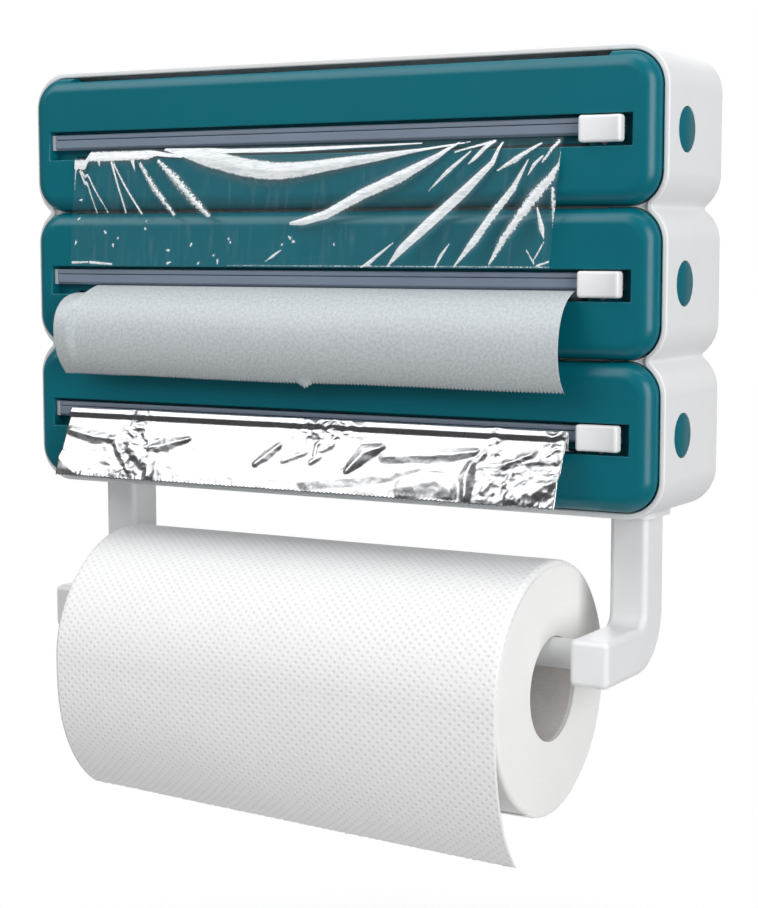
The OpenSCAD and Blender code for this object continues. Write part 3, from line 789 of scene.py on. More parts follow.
def make_piece(
    name: str,
    bm: BMesh,
    finish: Material,
    body: str,
    slot: str,
    stands_for: Sequence[str] = (),
    crease: float = 38,
    even: bool = False,
) -> bpy.types.Object:
    """Turns a finished mesh into a piece of the dispenser.

    Args:
        name: The piece's name.
        bm: The mesh, which is used up.
        finish: Its material.
        body: The body that it moves with.
        slot: The record's slot for its finish; not used.
        stands_for: The nodes that it replaces.
        crease: Edges that bend more than this many degrees stay sharp.
        even: Whether flat faces keep an even shade up to their rounded edges.

    Returns:
        The object.
    """
    mesh = bpy.data.meshes.new(name)
    bm.to_mesh(mesh)
    bm.free()
    mesh.shade_smooth()
    mesh.set_sharp_from_angle(angle=math.radians(crease))
    mesh.materials.append(finish)
    piece = bpy.data.objects.new(name, mesh)
    bpy.context.scene.collection.objects.link(piece)
    if even:
        weighted = piece.modifiers.new("even_shade", "WEIGHTED_NORMAL")
        weighted.keep_sharp = True
    if body:
        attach(piece, body)
    if stands_for:
        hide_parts(*stands_for)
    LOG.info("made %s with %d faces", name, len(mesh.polygons))
    return piece


def thicken(piece: bpy.types.Object, thick: float) -> None:
    """Gives a skin its thickness, half to each side."""
    skin = piece.modifiers.new("thickness", "SOLIDIFY")
    skin.thickness = thick
    skin.offset = 0


def outward(bm: BMesh) -> None:
    """Merges doubles and points every face outwards."""
    bmesh.ops.remove_doubles(bm, verts=bm.verts, dist=NEAR)
    bm.normal_update()
    bmesh.ops.recalc_face_normals(bm, faces=bm.faces)
    bm.normal_update()


def dress(node: str, finish: Material) -> None:
    """Gives a kept node its finish."""
    materials = frame["nodes"][node].data.materials
    materials.clear()
    materials.append(finish)
    LOG.info("dressed %s", node)


@dataclass
class Bay:
    """Where one wrap's bay lies."""

    wrap: Wrap
    centre: Vector = field(init=False)
    hinge: Vector = field(init=False)

    def __post_init__(self) -> None:
        """Reads the bay's axes from the joints."""
        self.centre = joint_place(f"{self.wrap.value}_roll_spin")
        self.hinge = joint_place(f"{self.wrap.value}_cover_hinge")

    @property
    def axis(self) -> Vector:
        """Gives the point of the roll's axis at X 0."""
        return Vector((0, self.centre.y, self.centre.z))

    def node(self, piece: str) -> str:
        """Gives the name of one of the bay's nodes."""
        return f"{self.wrap.value}_{piece}"

    def box(self, piece: str) -> tuple[Vector, Vector]:
        """Gives the lowest and highest corners of one of the bay's nodes."""
        return node_box(self.node(piece))

    def make(
        self,
        piece: str,
        bm: BMesh,
        finish: Material,
        body: str,
        slot: str,
        stands_for: str = "",
        **shading: Any,
    ) -> bpy.types.Object:
        """Makes one of the bay's pieces, with the bay's names given without their wrap.

        Args:
            piece: The piece's name.
            bm: The mesh, which is used up.
            finish: Its material.
            body: The body that it moves with.
            slot: The record's slot for its finish.
            stands_for: The node that it replaces, if it replaces one.
            shading: How its edges are shaded, as make_piece takes it.

        Returns:
            The object.
        """
        nodes = [self.node(stands_for)] if stands_for else []
        return make_piece(self.node(piece), bm, finish, self.node(body), slot, nodes, **shading)


@dataclass
class Casing:
    """The white three-lobed shell, its back panel and what is fixed inside it."""

    palette: Palette
    bays: Sequence[Bay]
    wall: float = 3.0 * MM
    corner: float = 20.0 * MM
    neck_fillet: float = 1.5 * MM
    ledge_front: float = -6.6 * MM
    ledge_width: float = 6.0 * MM
    panel_thick: float = 2.6 * MM
    rim_round: float = 0.9 * MM
    back_round: float = 1.4 * MM
    hole_round: float = 0.4 * MM
    plug_gap: float = 0.25 * MM
    sleeve_hole: Pair = (20.0 * MM, 24.0 * MM)
    web_gap: float = 0.35 * MM
    web_end: float = 178.5 * MM
    web_depth: Pair = (-69.6 * MM, -62.0 * MM)

    def build(self) -> None:
        """Makes the shell and dresses the fixed pieces."""
        self._shell()
        self._webs()
        for node in ("back_panel", "divider_upper", "divider_lower", "hinge_brackets"):
            dress(node, self.palette.white)
        for node in ("hinge_pins", "panel_screws"):
            dress(node, self.palette.steel)

    @property
    def pitch(self) -> float:
        """Gives the distance from one bay to the next."""
        return self.bays[0].centre.z - self.bays[1].centre.z

    def _lobes(self, bm: BMesh, depth: float) -> list[BMEdge]:
        """Traces the outline of the three lobes."""
        _, high = node_box("casing_shell")
        pitch = self.pitch
        half = high.x
        reach = high.z - pitch
        radius = self.corner
        fillet = self.neck_fillet
        rise = pitch / 2 - (reach - radius)
        bend = math.degrees(math.asin(rise / (radius + fillet)))
        neck = half - radius + math.sqrt((radius + fillet) ** 2 - rise ** 2)
        pen = OutlinePen(bm, Vector((0, depth, pitch + reach)))
        for lobe, bay in enumerate(self.bays):
            level = bay.centre.z
            top = 90 if lobe == 0 else bend
            end = 90 if lobe == len(self.bays) - 1 else bend
            if lobe == 0:
                pen.line_to(half - radius, level + reach)
            pen.arc(half - radius, level + reach - radius, top, 16)
            pen.line_to(half, level - reach + radius)
            pen.arc(half - radius, level - reach + radius, end, 16)
            if lobe < len(self.bays) - 1:
                pen.arc(neck, level - pitch / 2, -2 * bend, 6)
        pen.line_to(0, -pitch - reach)
        return pen.mirrored()

    def _windows(self, bm: BMesh, depth: float) -> list[list[BMEdge]]:
        """Traces the three openings inside the ledge."""
        _, high = node_box("casing_shell")
        inset = self.wall + self.ledge_width
        half = high.x - inset
        reach = high.z - self.pitch - inset
        radius = self.corner - inset
        loops = []
        for bay in self.bays:
            pen = OutlinePen(bm, Vector((0, depth, bay.centre.z + reach)))
            pen.line_to(half - radius, bay.centre.z + reach)
            pen.arc(half - radius, bay.centre.z + reach - radius, 90, 8)
            pen.line_to(half, bay.centre.z - reach + radius)
            pen.arc(half - radius, bay.centre.z - reach + radius, 90, 8)
            pen.line_to(0, bay.centre.z - reach)
            loops.append(pen.mirrored())
        return loops

    def _pierce(
        self, bm: BMesh, axis: int, levels: Pair, centre: Vector, trace: Callable[[Vector], list[BMEdge]]
    ) -> list[BMEdge]:
        """Cuts a hole through a double wall.

        Args:
            bm: The mesh.
            axis: The axis that the hole runs along.
            levels: Where the outer and the inner wall lie.
            centre: The hole's centre.
            trace: Draws the hole's edge about a centre.

        Returns:
            The hole's edge on the outer wall.
        """
        outer = centre.copy()
        outer[axis] = levels[0]
        mouth = trace(outer)
        self._open_wall(bm, axis, levels[0], outer, mouth)
        self._open_wall(bm, axis, levels[1], outer, draw_out(bm, mouth, axis, levels[1]))
        return mouth

    def _open_wall(self, bm: BMesh, axis: int, level: float, near: Vector, loop: list[BMEdge]) -> None:
        """Lets a loop into the flat wall face that it lies on."""
        ring = {vert for edge in loop for vert in edge.verts}
        found = [face for face in faces_at(bm, axis, level) if not ring & set(face.verts)]
        face = min(found, key=lambda item: (item.calc_center_median() - near).length)
        border = list(face.edges)
        bmesh.ops.delete(bm, geom=[face], context="FACES_ONLY")
        fill(bm, border, loop)

    def _shell(self) -> None:
        """Models the shell from its outlines, then pierces and rounds it."""
        low, high = node_box("casing_shell")
        bm = bmesh.new()
        front = self._lobes(bm, low.y)
        back = draw_out(bm, front, 1, high.y)
        outward(bm)
        windows = self._windows(bm, self.ledge_front)
        fill(bm, draw_out(bm, draw_in(bm, front, self.wall), 1, self.ledge_front), *windows)
        seats = [draw_out(bm, loop, 1, -self.panel_thick) for loop in windows]
        fill(bm, draw_out(bm, draw_in(bm, back, self.wall), 1, -self.panel_thick), *seats)
        mouths = self._plug_holes(bm, high.x) + self._sleeve_holes(bm, low.z)
        outward(bm)
        bevel(bm, [e for e in bm.edges if e.is_valid and e in set(mouths)], self.hole_round, 2)
        self._round_rims(bm)
        finish = self.palette.white
        make_piece(
            "casing_shell_moulding", bm, finish, "casing", "white_casing", ["casing_shell"], even=True
        )

    def _plug_holes(self, bm: BMesh, half: float) -> list[BMEdge]:
        """Pierces both ends for the push plugs."""
        mouths = []
        for bay in self.bays:
            plug_low, plug_high = bay.box("plug_right")
            radius = (plug_high.z - plug_low.z) / 2 + self.plug_gap
            for side in Side:
                def ring(centre: Vector) -> list[BMEdge]:
                    """Draws the hole's edge."""
                    upright = Matrix.Translation(centre) @ Matrix.Rotation(math.pi / 2, 4, "Y")
                    made = bmesh.ops.create_circle(bm, segments=56, radius=radius, matrix=upright)
                    return edges_of(made["verts"])

                outer = side.value * half
                inner = side.value * (half - self.wall)
                mouths += self._pierce(bm, 0, (outer, inner), bay.centre.copy(), ring)
        return mouths

    def _sleeve_holes(self, bm: BMesh, bottom: float) -> list[BMEdge]:
        """Pierces the floor for the sleeves of the arm sockets."""
        mouths = []
        for side in Side:
            socket_low, socket_high = node_box(f"arm_socket_{side.label}")
            centre = (socket_low + socket_high) / 2

            def frame_edge(middle: Vector) -> list[BMEdge]:
                """Draws the hole's edge."""
                size = Matrix.Diagonal((*self.sleeve_hole, 1, 1))
                made = bmesh.ops.create_grid(
                    bm, x_segments=1, y_segments=1, size=0.5, matrix=Matrix.Translation(middle) @ size
                )
                edges = edges_of(made["verts"])
                bmesh.ops.delete(bm, geom=list(made["verts"][0].link_faces), context="FACES_ONLY")
                return edges

            mouths += self._pierce(bm, 2, (bottom, bottom + self.wall), centre, frame_edge)
        return mouths

    def _round_rims(self, bm: BMesh) -> None:
        """Rounds the front rim and the outer back edge."""
        low, high = node_box("casing_shell")

        def outline(depth: float) -> list[BMEdge]:
            """Gives the hard edges at one depth."""
            return [edge for edge in edges_at(bm, 1, depth) if edge.calc_face_angle(0) > HARD_EDGE]

        bevel(bm, outline(low.y), self.rim_round, 4)
        outer_back = [
            edge for edge in outline(high.y) if not all(self._in_seat(vert.co) for vert in edge.verts)
        ]
        bevel(bm, outer_back, self.back_round, 4)

    def _in_seat(self, point: Vector) -> bool:
        """Says whether a point of the back lies on the panel's seat and not on the outer edge."""
        _, high = node_box("casing_shell")
        half = high.x - self.corner
        reach = high.z - self.pitch - self.corner
        bay = min(self.bays, key=lambda item: abs(item.centre.z - point.z))
        off_x = max(0.0, abs(point.x) - half)
        off_z = max(0.0, abs(point.z - bay.centre.z) - reach)
        return math.hypot(off_x, off_z) < self.corner - self.wall / 2

    def _webs(self) -> None:
        """Fills the hollow corners between neighbouring covers at both ends."""
        bm = bmesh.new()
        corner = FrontCover.size[0] / 2 - FrontCover.corner
        reach = FrontCover.corner + self.web_gap
        bend = math.degrees(math.asin((self.web_end - corner) / reach))
        for upper, lower in zip(self.bays, self.bays[1:]):
            seam = (upper.centre.z + lower.centre.z) / 2
            rise = (upper.centre.z - lower.centre.z - FrontCover.size[1]) / 2 + FrontCover.corner
            pen = OutlinePen(bm, Vector((corner, self.web_depth[0], seam + rise - reach)))
            pen.arc(corner, seam + rise, -bend, 8)
            pen.line_to(self.web_end, seam - rise + reach * math.cos(math.radians(bend)))
            pen.arc(corner, seam - rise, -bend, 8)
            pen.line_to(corner, seam + rise - reach)
            fill(bm, pen.mirrored())
        outward(bm)
        made = bmesh.ops.extrude_face_region(bm, geom=bm.faces[:], use_keep_orig=True)["geom"]
        bmesh.ops.translate(bm, vec=(0, self.web_depth[1] - self.web_depth[0], 0), verts=verts_in(made))
        outward(bm)
        make_piece("casing_seam_webs", bm, self.palette.white, "casing", "white_casing")


@dataclass
class FrontCover:
    """One teal cover with its rounded edges, cutter recess, slot, finger notch and ears."""

    palette: Palette
    bay: Bay
    size: Pair = (370.0 * MM, 72.7 * MM)
    corner: float = 16.5 * MM
    edge_round: float = 8.3 * MM
    back: float = -66.3 * MM
    thick: float = 2.2 * MM
    recess_half: float = 173.2 * MM
    recess_top: float = 6.9 * MM
    recess_low: float = -8.3 * MM
    recess_floor: float = -72.6 * MM
    slot_height: float = 1.7 * MM
    slot_ends: Pair = (-159.5 * MM, 148.5 * MM)
    notch_half: float = 160.0 * MM
    notch_height: float = 2.5 * MM
    lip_round: float = 0.5 * MM
    ear_x: float = 151.0 * MM
    ear_thick: float = 3.0 * MM
    ear_radius: float = 6.5 * MM
    bracket_width: float = 8.0 * MM
    ear_gap: float = 0.6 * MM
    pin_radius: float = 1.6 * MM

    @property
    def front(self) -> float:
        """Gives the depth of the cover's face."""
        return self.bay.box("cover")[0].y

    def build(self) -> None:
        """Makes the cover."""
        bm = bmesh.new()
        self._tray(bm)
        self._recess(bm)
        self._notch(bm)
        outward(bm)
        self._face_front(bm)
        bmesh.ops.solidify(bm, geom=bm.faces[:], thickness=self.thick)
        bevel(bm, self._mouth(bm), self.lip_round, 3)
        self._ears(bm)
        self.bay.make(
            "cover_moulding", bm, self.palette.teal, "cover_body", "teal_cover", "cover", even=True
        )

    def _tray(self, bm: BMesh) -> None:
        """Models the open-backed tray with its rounded corners and edges."""
        level = self.bay.centre.z
        half_w, half_h = self.size[0] / 2, self.size[1] / 2
        low = Vector((-half_w, self.front, level - half_h))
        block(bm, low, Vector((half_w, self.back, level + half_h)))
        upright = [e for e in bm.edges if abs(e.verts[0].co.y - e.verts[1].co.y) > NEAR]
        bevel(bm, upright, self.corner, 14)
        bmesh.ops.delete(bm, geom=faces_at(bm, 1, self.back), context="FACES_ONLY")
        bevel(bm, edges_at(bm, 1, self.front), self.edge_round, 12)
        self._skirt(bm)

    def _skirt(self, bm: BMesh) -> None:
        """Takes the back of the walls off below, so that the cover tilts past its brackets."""
        top = self.bay.centre.z - self.size[1] / 2 + self.corner
        behind = self.front + self.edge_round
        cut = faces_where(bm, lambda middle: middle.y > behind + NEAR and middle.z < top - NEAR)
        bmesh.ops.delete(bm, geom=cut, context="FACES")

    def _in_recess(self, point: Vector) -> bool:
        """Says whether a point lies inside or on the recess' outline."""
        height = point.z - self.bay.centre.z
        return abs(point.x) < self.recess_half + NEAR and (
            self.recess_low - NEAR < height < self.recess_top + NEAR
        )

    def _recess(self, bm: BMesh) -> None:
        """Sinks the cutter recess into the face and opens the slot in its floor."""
        level = self.bay.centre.z
        for axis, place in (
            (2, level + self.recess_top),
            (2, level + self.recess_low),
            (0, -self.recess_half),
            (0, self.recess_half),
        ):
            slice_at(bm, axis, place, faces_at(bm, 1, self.front))
        sunk = [face for face in faces_at(bm, 1, self.front) if self._in_recess(face.calc_center_median())]
        made = bmesh.ops.extrude_face_region(bm, geom=sunk)["geom"]
        bmesh.ops.translate(bm, vec=(0, self.recess_floor - self.front, 0), verts=verts_in(made))
        bmesh.ops.delete(bm, geom=sunk, context="FACES_ONLY")
        slot_top = level + self.recess_low + self.slot_height
        left, right = self.slot_ends
        for axis, place in ((2, slot_top), (0, left), (0, right)):
            slice_at(bm, axis, place, faces_at(bm, 1, self.recess_floor))
        opened = []
        for face in faces_at(bm, 1, self.recess_floor):
            middle = face.calc_center_median()
            if middle.z < slot_top and left < middle.x < right:
                opened.append(face)
        bmesh.ops.delete(bm, geom=opened, context="FACES")

    def _notch(self, bm: BMesh) -> None:
        """Cuts the finger notch out of the top edge."""
        sill = self.bay.centre.z + self.size[1] / 2 - self.notch_height
        above = [f for f in bm.faces if max(v.co.z for v in f.verts) > sill]
        slice_at(bm, 2, sill, above)
        for end in (-self.notch_half, self.notch_half):
            slice_at(bm, 0, end, faces_where(bm, lambda middle: middle.z > sill))
        cut = faces_where(bm, lambda middle: middle.z > sill and abs(middle.x) < self.notch_half)
        bmesh.ops.delete(bm, geom=cut, context="FACES")

    def _face_front(self, bm: BMesh) -> None:
        """Turns the faces over if the cover's face looks backwards."""
        widest = max(faces_at(bm, 1, self.front), key=lambda face: face.calc_area())
        if widest.normal.y > 0:
            bmesh.ops.reverse_faces(bm, faces=bm.faces)
            bm.normal_update()

    def _mouth(self, bm: BMesh) -> list[BMEdge]:
        """Gives the edges round the recess' mouth."""
        return [
            edge
            for edge in edges_at(bm, 1, self.front)
            if all(self._in_recess(vert.co) for vert in edge.verts) and edge.calc_face_angle(0) > HARD_EDGE
        ]

    def _ears(self, bm: BMesh) -> None:
        """Adds the hinge ears beside each bracket."""
        inner = self.bracket_width / 2 + self.ear_gap
        centre = Vector((0, self.bay.hinge.y, self.bay.hinge.z))
        for middle in (-self.ear_x, self.ear_x):
            for side in Side:
                start = middle + side.value * inner
                stop = start + side.value * self.ear_thick
                made = tube(bm, (start, stop), (self.pin_radius, self.ear_radius), centre, 40)
                faces = list({face for vert in made for face in vert.link_faces})
                bmesh.ops.recalc_face_normals(bm, faces=faces)


@dataclass
class Cutter:
    """A rail in the recess, with its carriage, blade and knob."""

    palette: Palette
    bay: Bay
    groove_neck: float = 0.16 * MM
    groove_lip: float = 1.1 * MM
    groove_depth: float = 3.6 * MM
    rail_round: float = 0.35 * MM
    rail_ease: Pair = (0.6 * MM, 1.2 * MM)
    rail_cut: float = 3.2 * MM
    tongue_gap: float = 0.12 * MM
    stop_width: float = 2.2 * MM
    knob_trim: float = 2.0 * MM
    knob_round: float = 1.5 * MM
    dish_depth: float = 1.3 * MM
    dish_slices: int = 18

    def build(self) -> None:
        """Makes the rail, the carriage and the knob, and dresses the blade."""
        self._rail()
        self._carriage()
        self._knob()
        dress(self.bay.node("blade"), self.palette.steel)

    @property
    def groove(self) -> float:
        """Gives the height of the groove's middle."""
        low, high = self.bay.box("carriage")
        return (low.z + high.z) / 2

    def _rail(self) -> None:
        """Models the grooved rail and the pale stop at its left end."""
        low, high = self.bay.box("rail")
        carriage_low, carriage_high = self.bay.box("carriage")
        half = (carriage_high.z - carriage_low.z) / 2 + self.tongue_gap
        lip = low.y + self.groove_lip
        deep = low.y + self.groove_depth
        neck = self.groove_neck
        top_ease, low_ease = self.rail_ease
        outline = [
            (low.y, low.z + low_ease), (low.y + low_ease, low.z), (high.y, low.z), (high.y, high.z),
            (low.y + top_ease, high.z), (low.y, high.z - top_ease),
            (low.y, self.groove + neck), (lip, self.groove + neck),
            (lip, self.groove + half), (deep, self.groove + half),
            (deep, self.groove - half), (lip, self.groove - half),
            (lip, self.groove - neck), (low.y, self.groove - neck),
        ]
        bm = bmesh.new()
        draw_section(bm, outline, (low.x, high.x - self.rail_cut))
        outward(bm)
        bevel(bm, edges_at(bm, 1, low.y), self.rail_round, 3)
        self.bay.make(
            "rail_moulding", bm, self.palette.rail, "cover_body", "blue_grey_rail", "rail", even=True
        )
        self._stop(low, high)

    def _stop(self, low: Vector, high: Vector) -> None:
        """Adds the pale stop that closes the rail's groove on the left."""
        bm = bmesh.new()
        block(bm, Vector((low.x - self.stop_width, low.y, low.z)), Vector((low.x, high.y, high.z)))
        bevel(bm, bm.edges[:], self.rail_round, 2)
        self.bay.make("rail_stop", bm, self.palette.rail_end, "cover_body", "blue_grey_rail", even=True)

    def _carriage(self) -> None:
        """Models the carriage: a tongue in the groove and a neck that reaches out to the knob."""
        low, high = self.bay.box("carriage")
        rail_low, _ = self.bay.box("rail")
        neck = self.groove_neck - self.tongue_gap / 2
        lip = rail_low.y + self.groove_lip + self.tongue_gap
        outline = [
            (low.y, self.groove - neck), (lip, self.groove - neck), (lip, low.z), (high.y, low.z),
            (high.y, high.z), (lip, high.z), (lip, self.groove + neck), (low.y, self.groove + neck),
        ]
        bm = bmesh.new()
        draw_section(bm, outline, (low.x, high.x - self.rail_cut))
        outward(bm)
        self.bay.make("carriage_tongue", bm, self.palette.rail, "slider", "blue_grey_rail", "carriage")

    def _knob(self) -> None:
        """Models the knob as a rounded block with a dished face."""
        low, high = self.bay.box("knob")
        high = high - X_AXIS * self.knob_trim
        bm = bmesh.new()
        block(bm, low, high)
        bevel(bm, [e for e in bm.edges if not flat_at(e.verts, 1, high.y)], self.knob_round, 5)
        width = high.x - low.x
        for index in range(1, self.dish_slices):
            slice_at(bm, 0, low.x + width * index / self.dish_slices)
        half = width / 2 - self.knob_round
        for vert in bm.verts:
            off = abs(vert.co.x - (low.x + high.x) / 2) / half
            if vert.co.y < low.y + self.knob_round and off < 1:
                vert.co.y += self.dish_depth * (1 - off ** 2)
        self.bay.make("knob_moulding", bm, self.palette.white, "slider", "white_casing", "knob", crease=50)


@dataclass
class WrapReel:
    """A wrap's roll on its core, its cups, and the sprung push plugs that hold it."""

    palette: Palette
    bay: Bay
    core_wall: float = 1.5 * MM
    roll_round: float = 0.6 * MM
    plug_round: float = 0.7 * MM
    plug_stem: float = 4.0 * MM
    plug_head: float = 7.0 * MM
    wire: float = 1.2 * MM
    coils: int = 6
    coil_steps: int = 28

    def build(self) -> None:
        """Makes the roll, the core, the plugs and the springs."""
        self._core()
        self._roll()
        dress(self.bay.node("cups"), self.palette.white)
        for side in Side:
            self._plug(side)
            self._spring(side)

    def _core(self) -> None:
        """Turns the cardboard core."""
        low, high = self.bay.box("core")
        outer = (high.z - low.z) / 2
        bm = bmesh.new()
        tube(bm, (low.x, high.x), (outer - self.core_wall, outer), self.bay.axis)
        outward(bm)
        self.bay.make("core_tube", bm, self.palette.card, "reel", "card", "core")

    def _finish(self) -> tuple[Material, str]:
        """Gives the wound wrap's finish and its slot."""
        slot, pale, dark, layer, roughness, metallic = {
            Wrap.FILM: (
                "cling_film", tint(0.62, 0.70, 0.72), tint(0.45, 0.53, 0.55), 0.4 * MM, (0.12, 0.25), 0.0,
            ),
            Wrap.PAPER: (
                "baking_paper", tint(0.66, 0.71, 0.73), tint(0.55, 0.60, 0.62), 0.5 * MM, (0.5, 0.7), 0.0,
            ),
            Wrap.FOIL: ("foil", tint(0.90, 0.90, 0.91), tint(0.72, 0.72, 0.73), 0.4 * MM, (0.16, 0.3), 1.0),
        }[self.bay.wrap]
        axis = (self.bay.centre.y, self.bay.centre.z)
        layers = WoundLayers(self.bay.node("winding"), pale, dark, axis, layer, roughness, metallic)
        return layers.make(), slot

    def _roll(self) -> None:
        """Turns the wound wrap, with softened ends."""
        low, high = self.bay.box("roll")
        core_low, core_high = self.bay.box("core")
        outer = (high.z - low.z) / 2
        inner = (core_high.z - core_low.z) / 2 + ROLL_GAP
        left = softened(low.x, outer, self.roll_round, 1)
        right = softened(high.x, outer, self.roll_round, -1)
        profile = [(low.x, inner), *left, *reversed(right), (high.x, inner)]
        bm = bmesh.new()
        turn(bm, profile, self.bay.axis, X_AXIS, Z_AXIS, 72)
        outward(bm)
        finish, slot = self._finish()
        self.bay.make("wound_roll", bm, finish, "reel", slot, "roll")

    def _plug(self, side: Side) -> None:
        """Turns one push plug with its softened face."""
        node = f"plug_{side.label}"
        low, high = self.bay.box(node)
        radius = (high.z - low.z) / 2
        face = high.x if side is Side.RIGHT else -low.x
        tail = low.x if side is Side.RIGHT else -high.x
        shoulder = face - self.plug_head
        profile = [
            (face, 0), *softened(face, radius, self.plug_round, -1), (shoulder, radius),
            (shoulder, self.plug_stem), (tail, self.plug_stem), (tail, 0),
        ]
        bm = bmesh.new()
        turn(bm, profile, self.bay.axis, X_AXIS * side.value, Z_AXIS, 56)
        outward(bm)
        self.bay.make(f"{node}_cap", bm, self.palette.teal, f"button_{side.label}", "teal_cover", node)

    def _spring(self, side: Side) -> None:
        """Winds the spring that pushes one plug outwards."""
        node = f"spring_{side.label}"
        low, high = self.bay.box(node)
        radius = (high.z - low.z) / 2 - self.wire / 2
        start = low.x + self.wire / 2
        steps = self.coils * self.coil_steps
        step = (high.x - low.x - self.wire) / steps
        bm = bmesh.new()
        middle = Vector((start, self.bay.centre.y, self.bay.centre.z + radius))
        upright = Matrix.Translation(middle) @ Matrix.Rotation(math.pi / 2, 4, "X")
        made = bmesh.ops.create_circle(bm, cap_ends=True, segments=10, radius=self.wire / 2, matrix=upright)
        ring = made["verts"]
        faces = list(bm.faces)
        bmesh.ops.spin(
            bm,
            geom=[*ring, *edges_of(ring), *faces],
            cent=(start, self.bay.centre.y, self.bay.centre.z),
            axis=X_AXIS,
            dvec=(step, 0, 0),
            angle=math.tau * self.coils,
            steps=steps,
        )
        outward(bm)
        piece = self.bay.make(f"coil_{node}", bm, self.palette.steel, "reel", "steel", node, crease=80)
        self.bay.node(f"button_{side.label}_press")
        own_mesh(piece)


@dataclass(frozen=True)
class Streak:
    """One crease of a sheet.

    Its spots are shares of the sheet's width and drop, each with a half width in millimetres.
    """

    spots: Sequence[tuple[float, float, float]]
    rough: float = 0.0
    slope: float = 0.5
    reach: Pair = (0.03, 0.16)

    def depth(self, across: float, down: float, size: Pair) -> float:
        """Gives how deep inside the crease a point lies.

        Args:
            across: The point's share of the width.
            down: The point's share of the drop.
            size: The sheet's width and drop in millimetres.

        Returns:
            1 on the crease's middle line, 0 at its edge and down to -1 outside it.
        """
        deepest = -1.0
        for (x, y, wide), (next_x, next_y, next_wide) in zip(self.spots, self.spots[1:]):
            if abs(across - (x + next_x) / 2) > abs(next_x - x) / 2 + self.reach[0]:
                continue
            if abs(down - (y + next_y) / 2) > abs(next_y - y) / 2 + self.reach[1]:
                continue
            run = Vector(((next_x - x) * size[0], (next_y - y) * size[1]))
            off = Vector(((across - x) * size[0], (down - y) * size[1]))
            share = min(1.0, max(0.0, off.dot(run) / run.length_squared))
            gap = (off - run * share).length
            deepest = max(deepest, 1 - gap / (wide + (next_wide - wide) * share))
        return deepest

    def height(self, depth: float) -> float:
        """Gives how far the crease lifts the sheet, in metres."""
        widest = max(wide for _, _, wide in self.spots)
        return max(0.0, depth) * widest * self.slope * MM


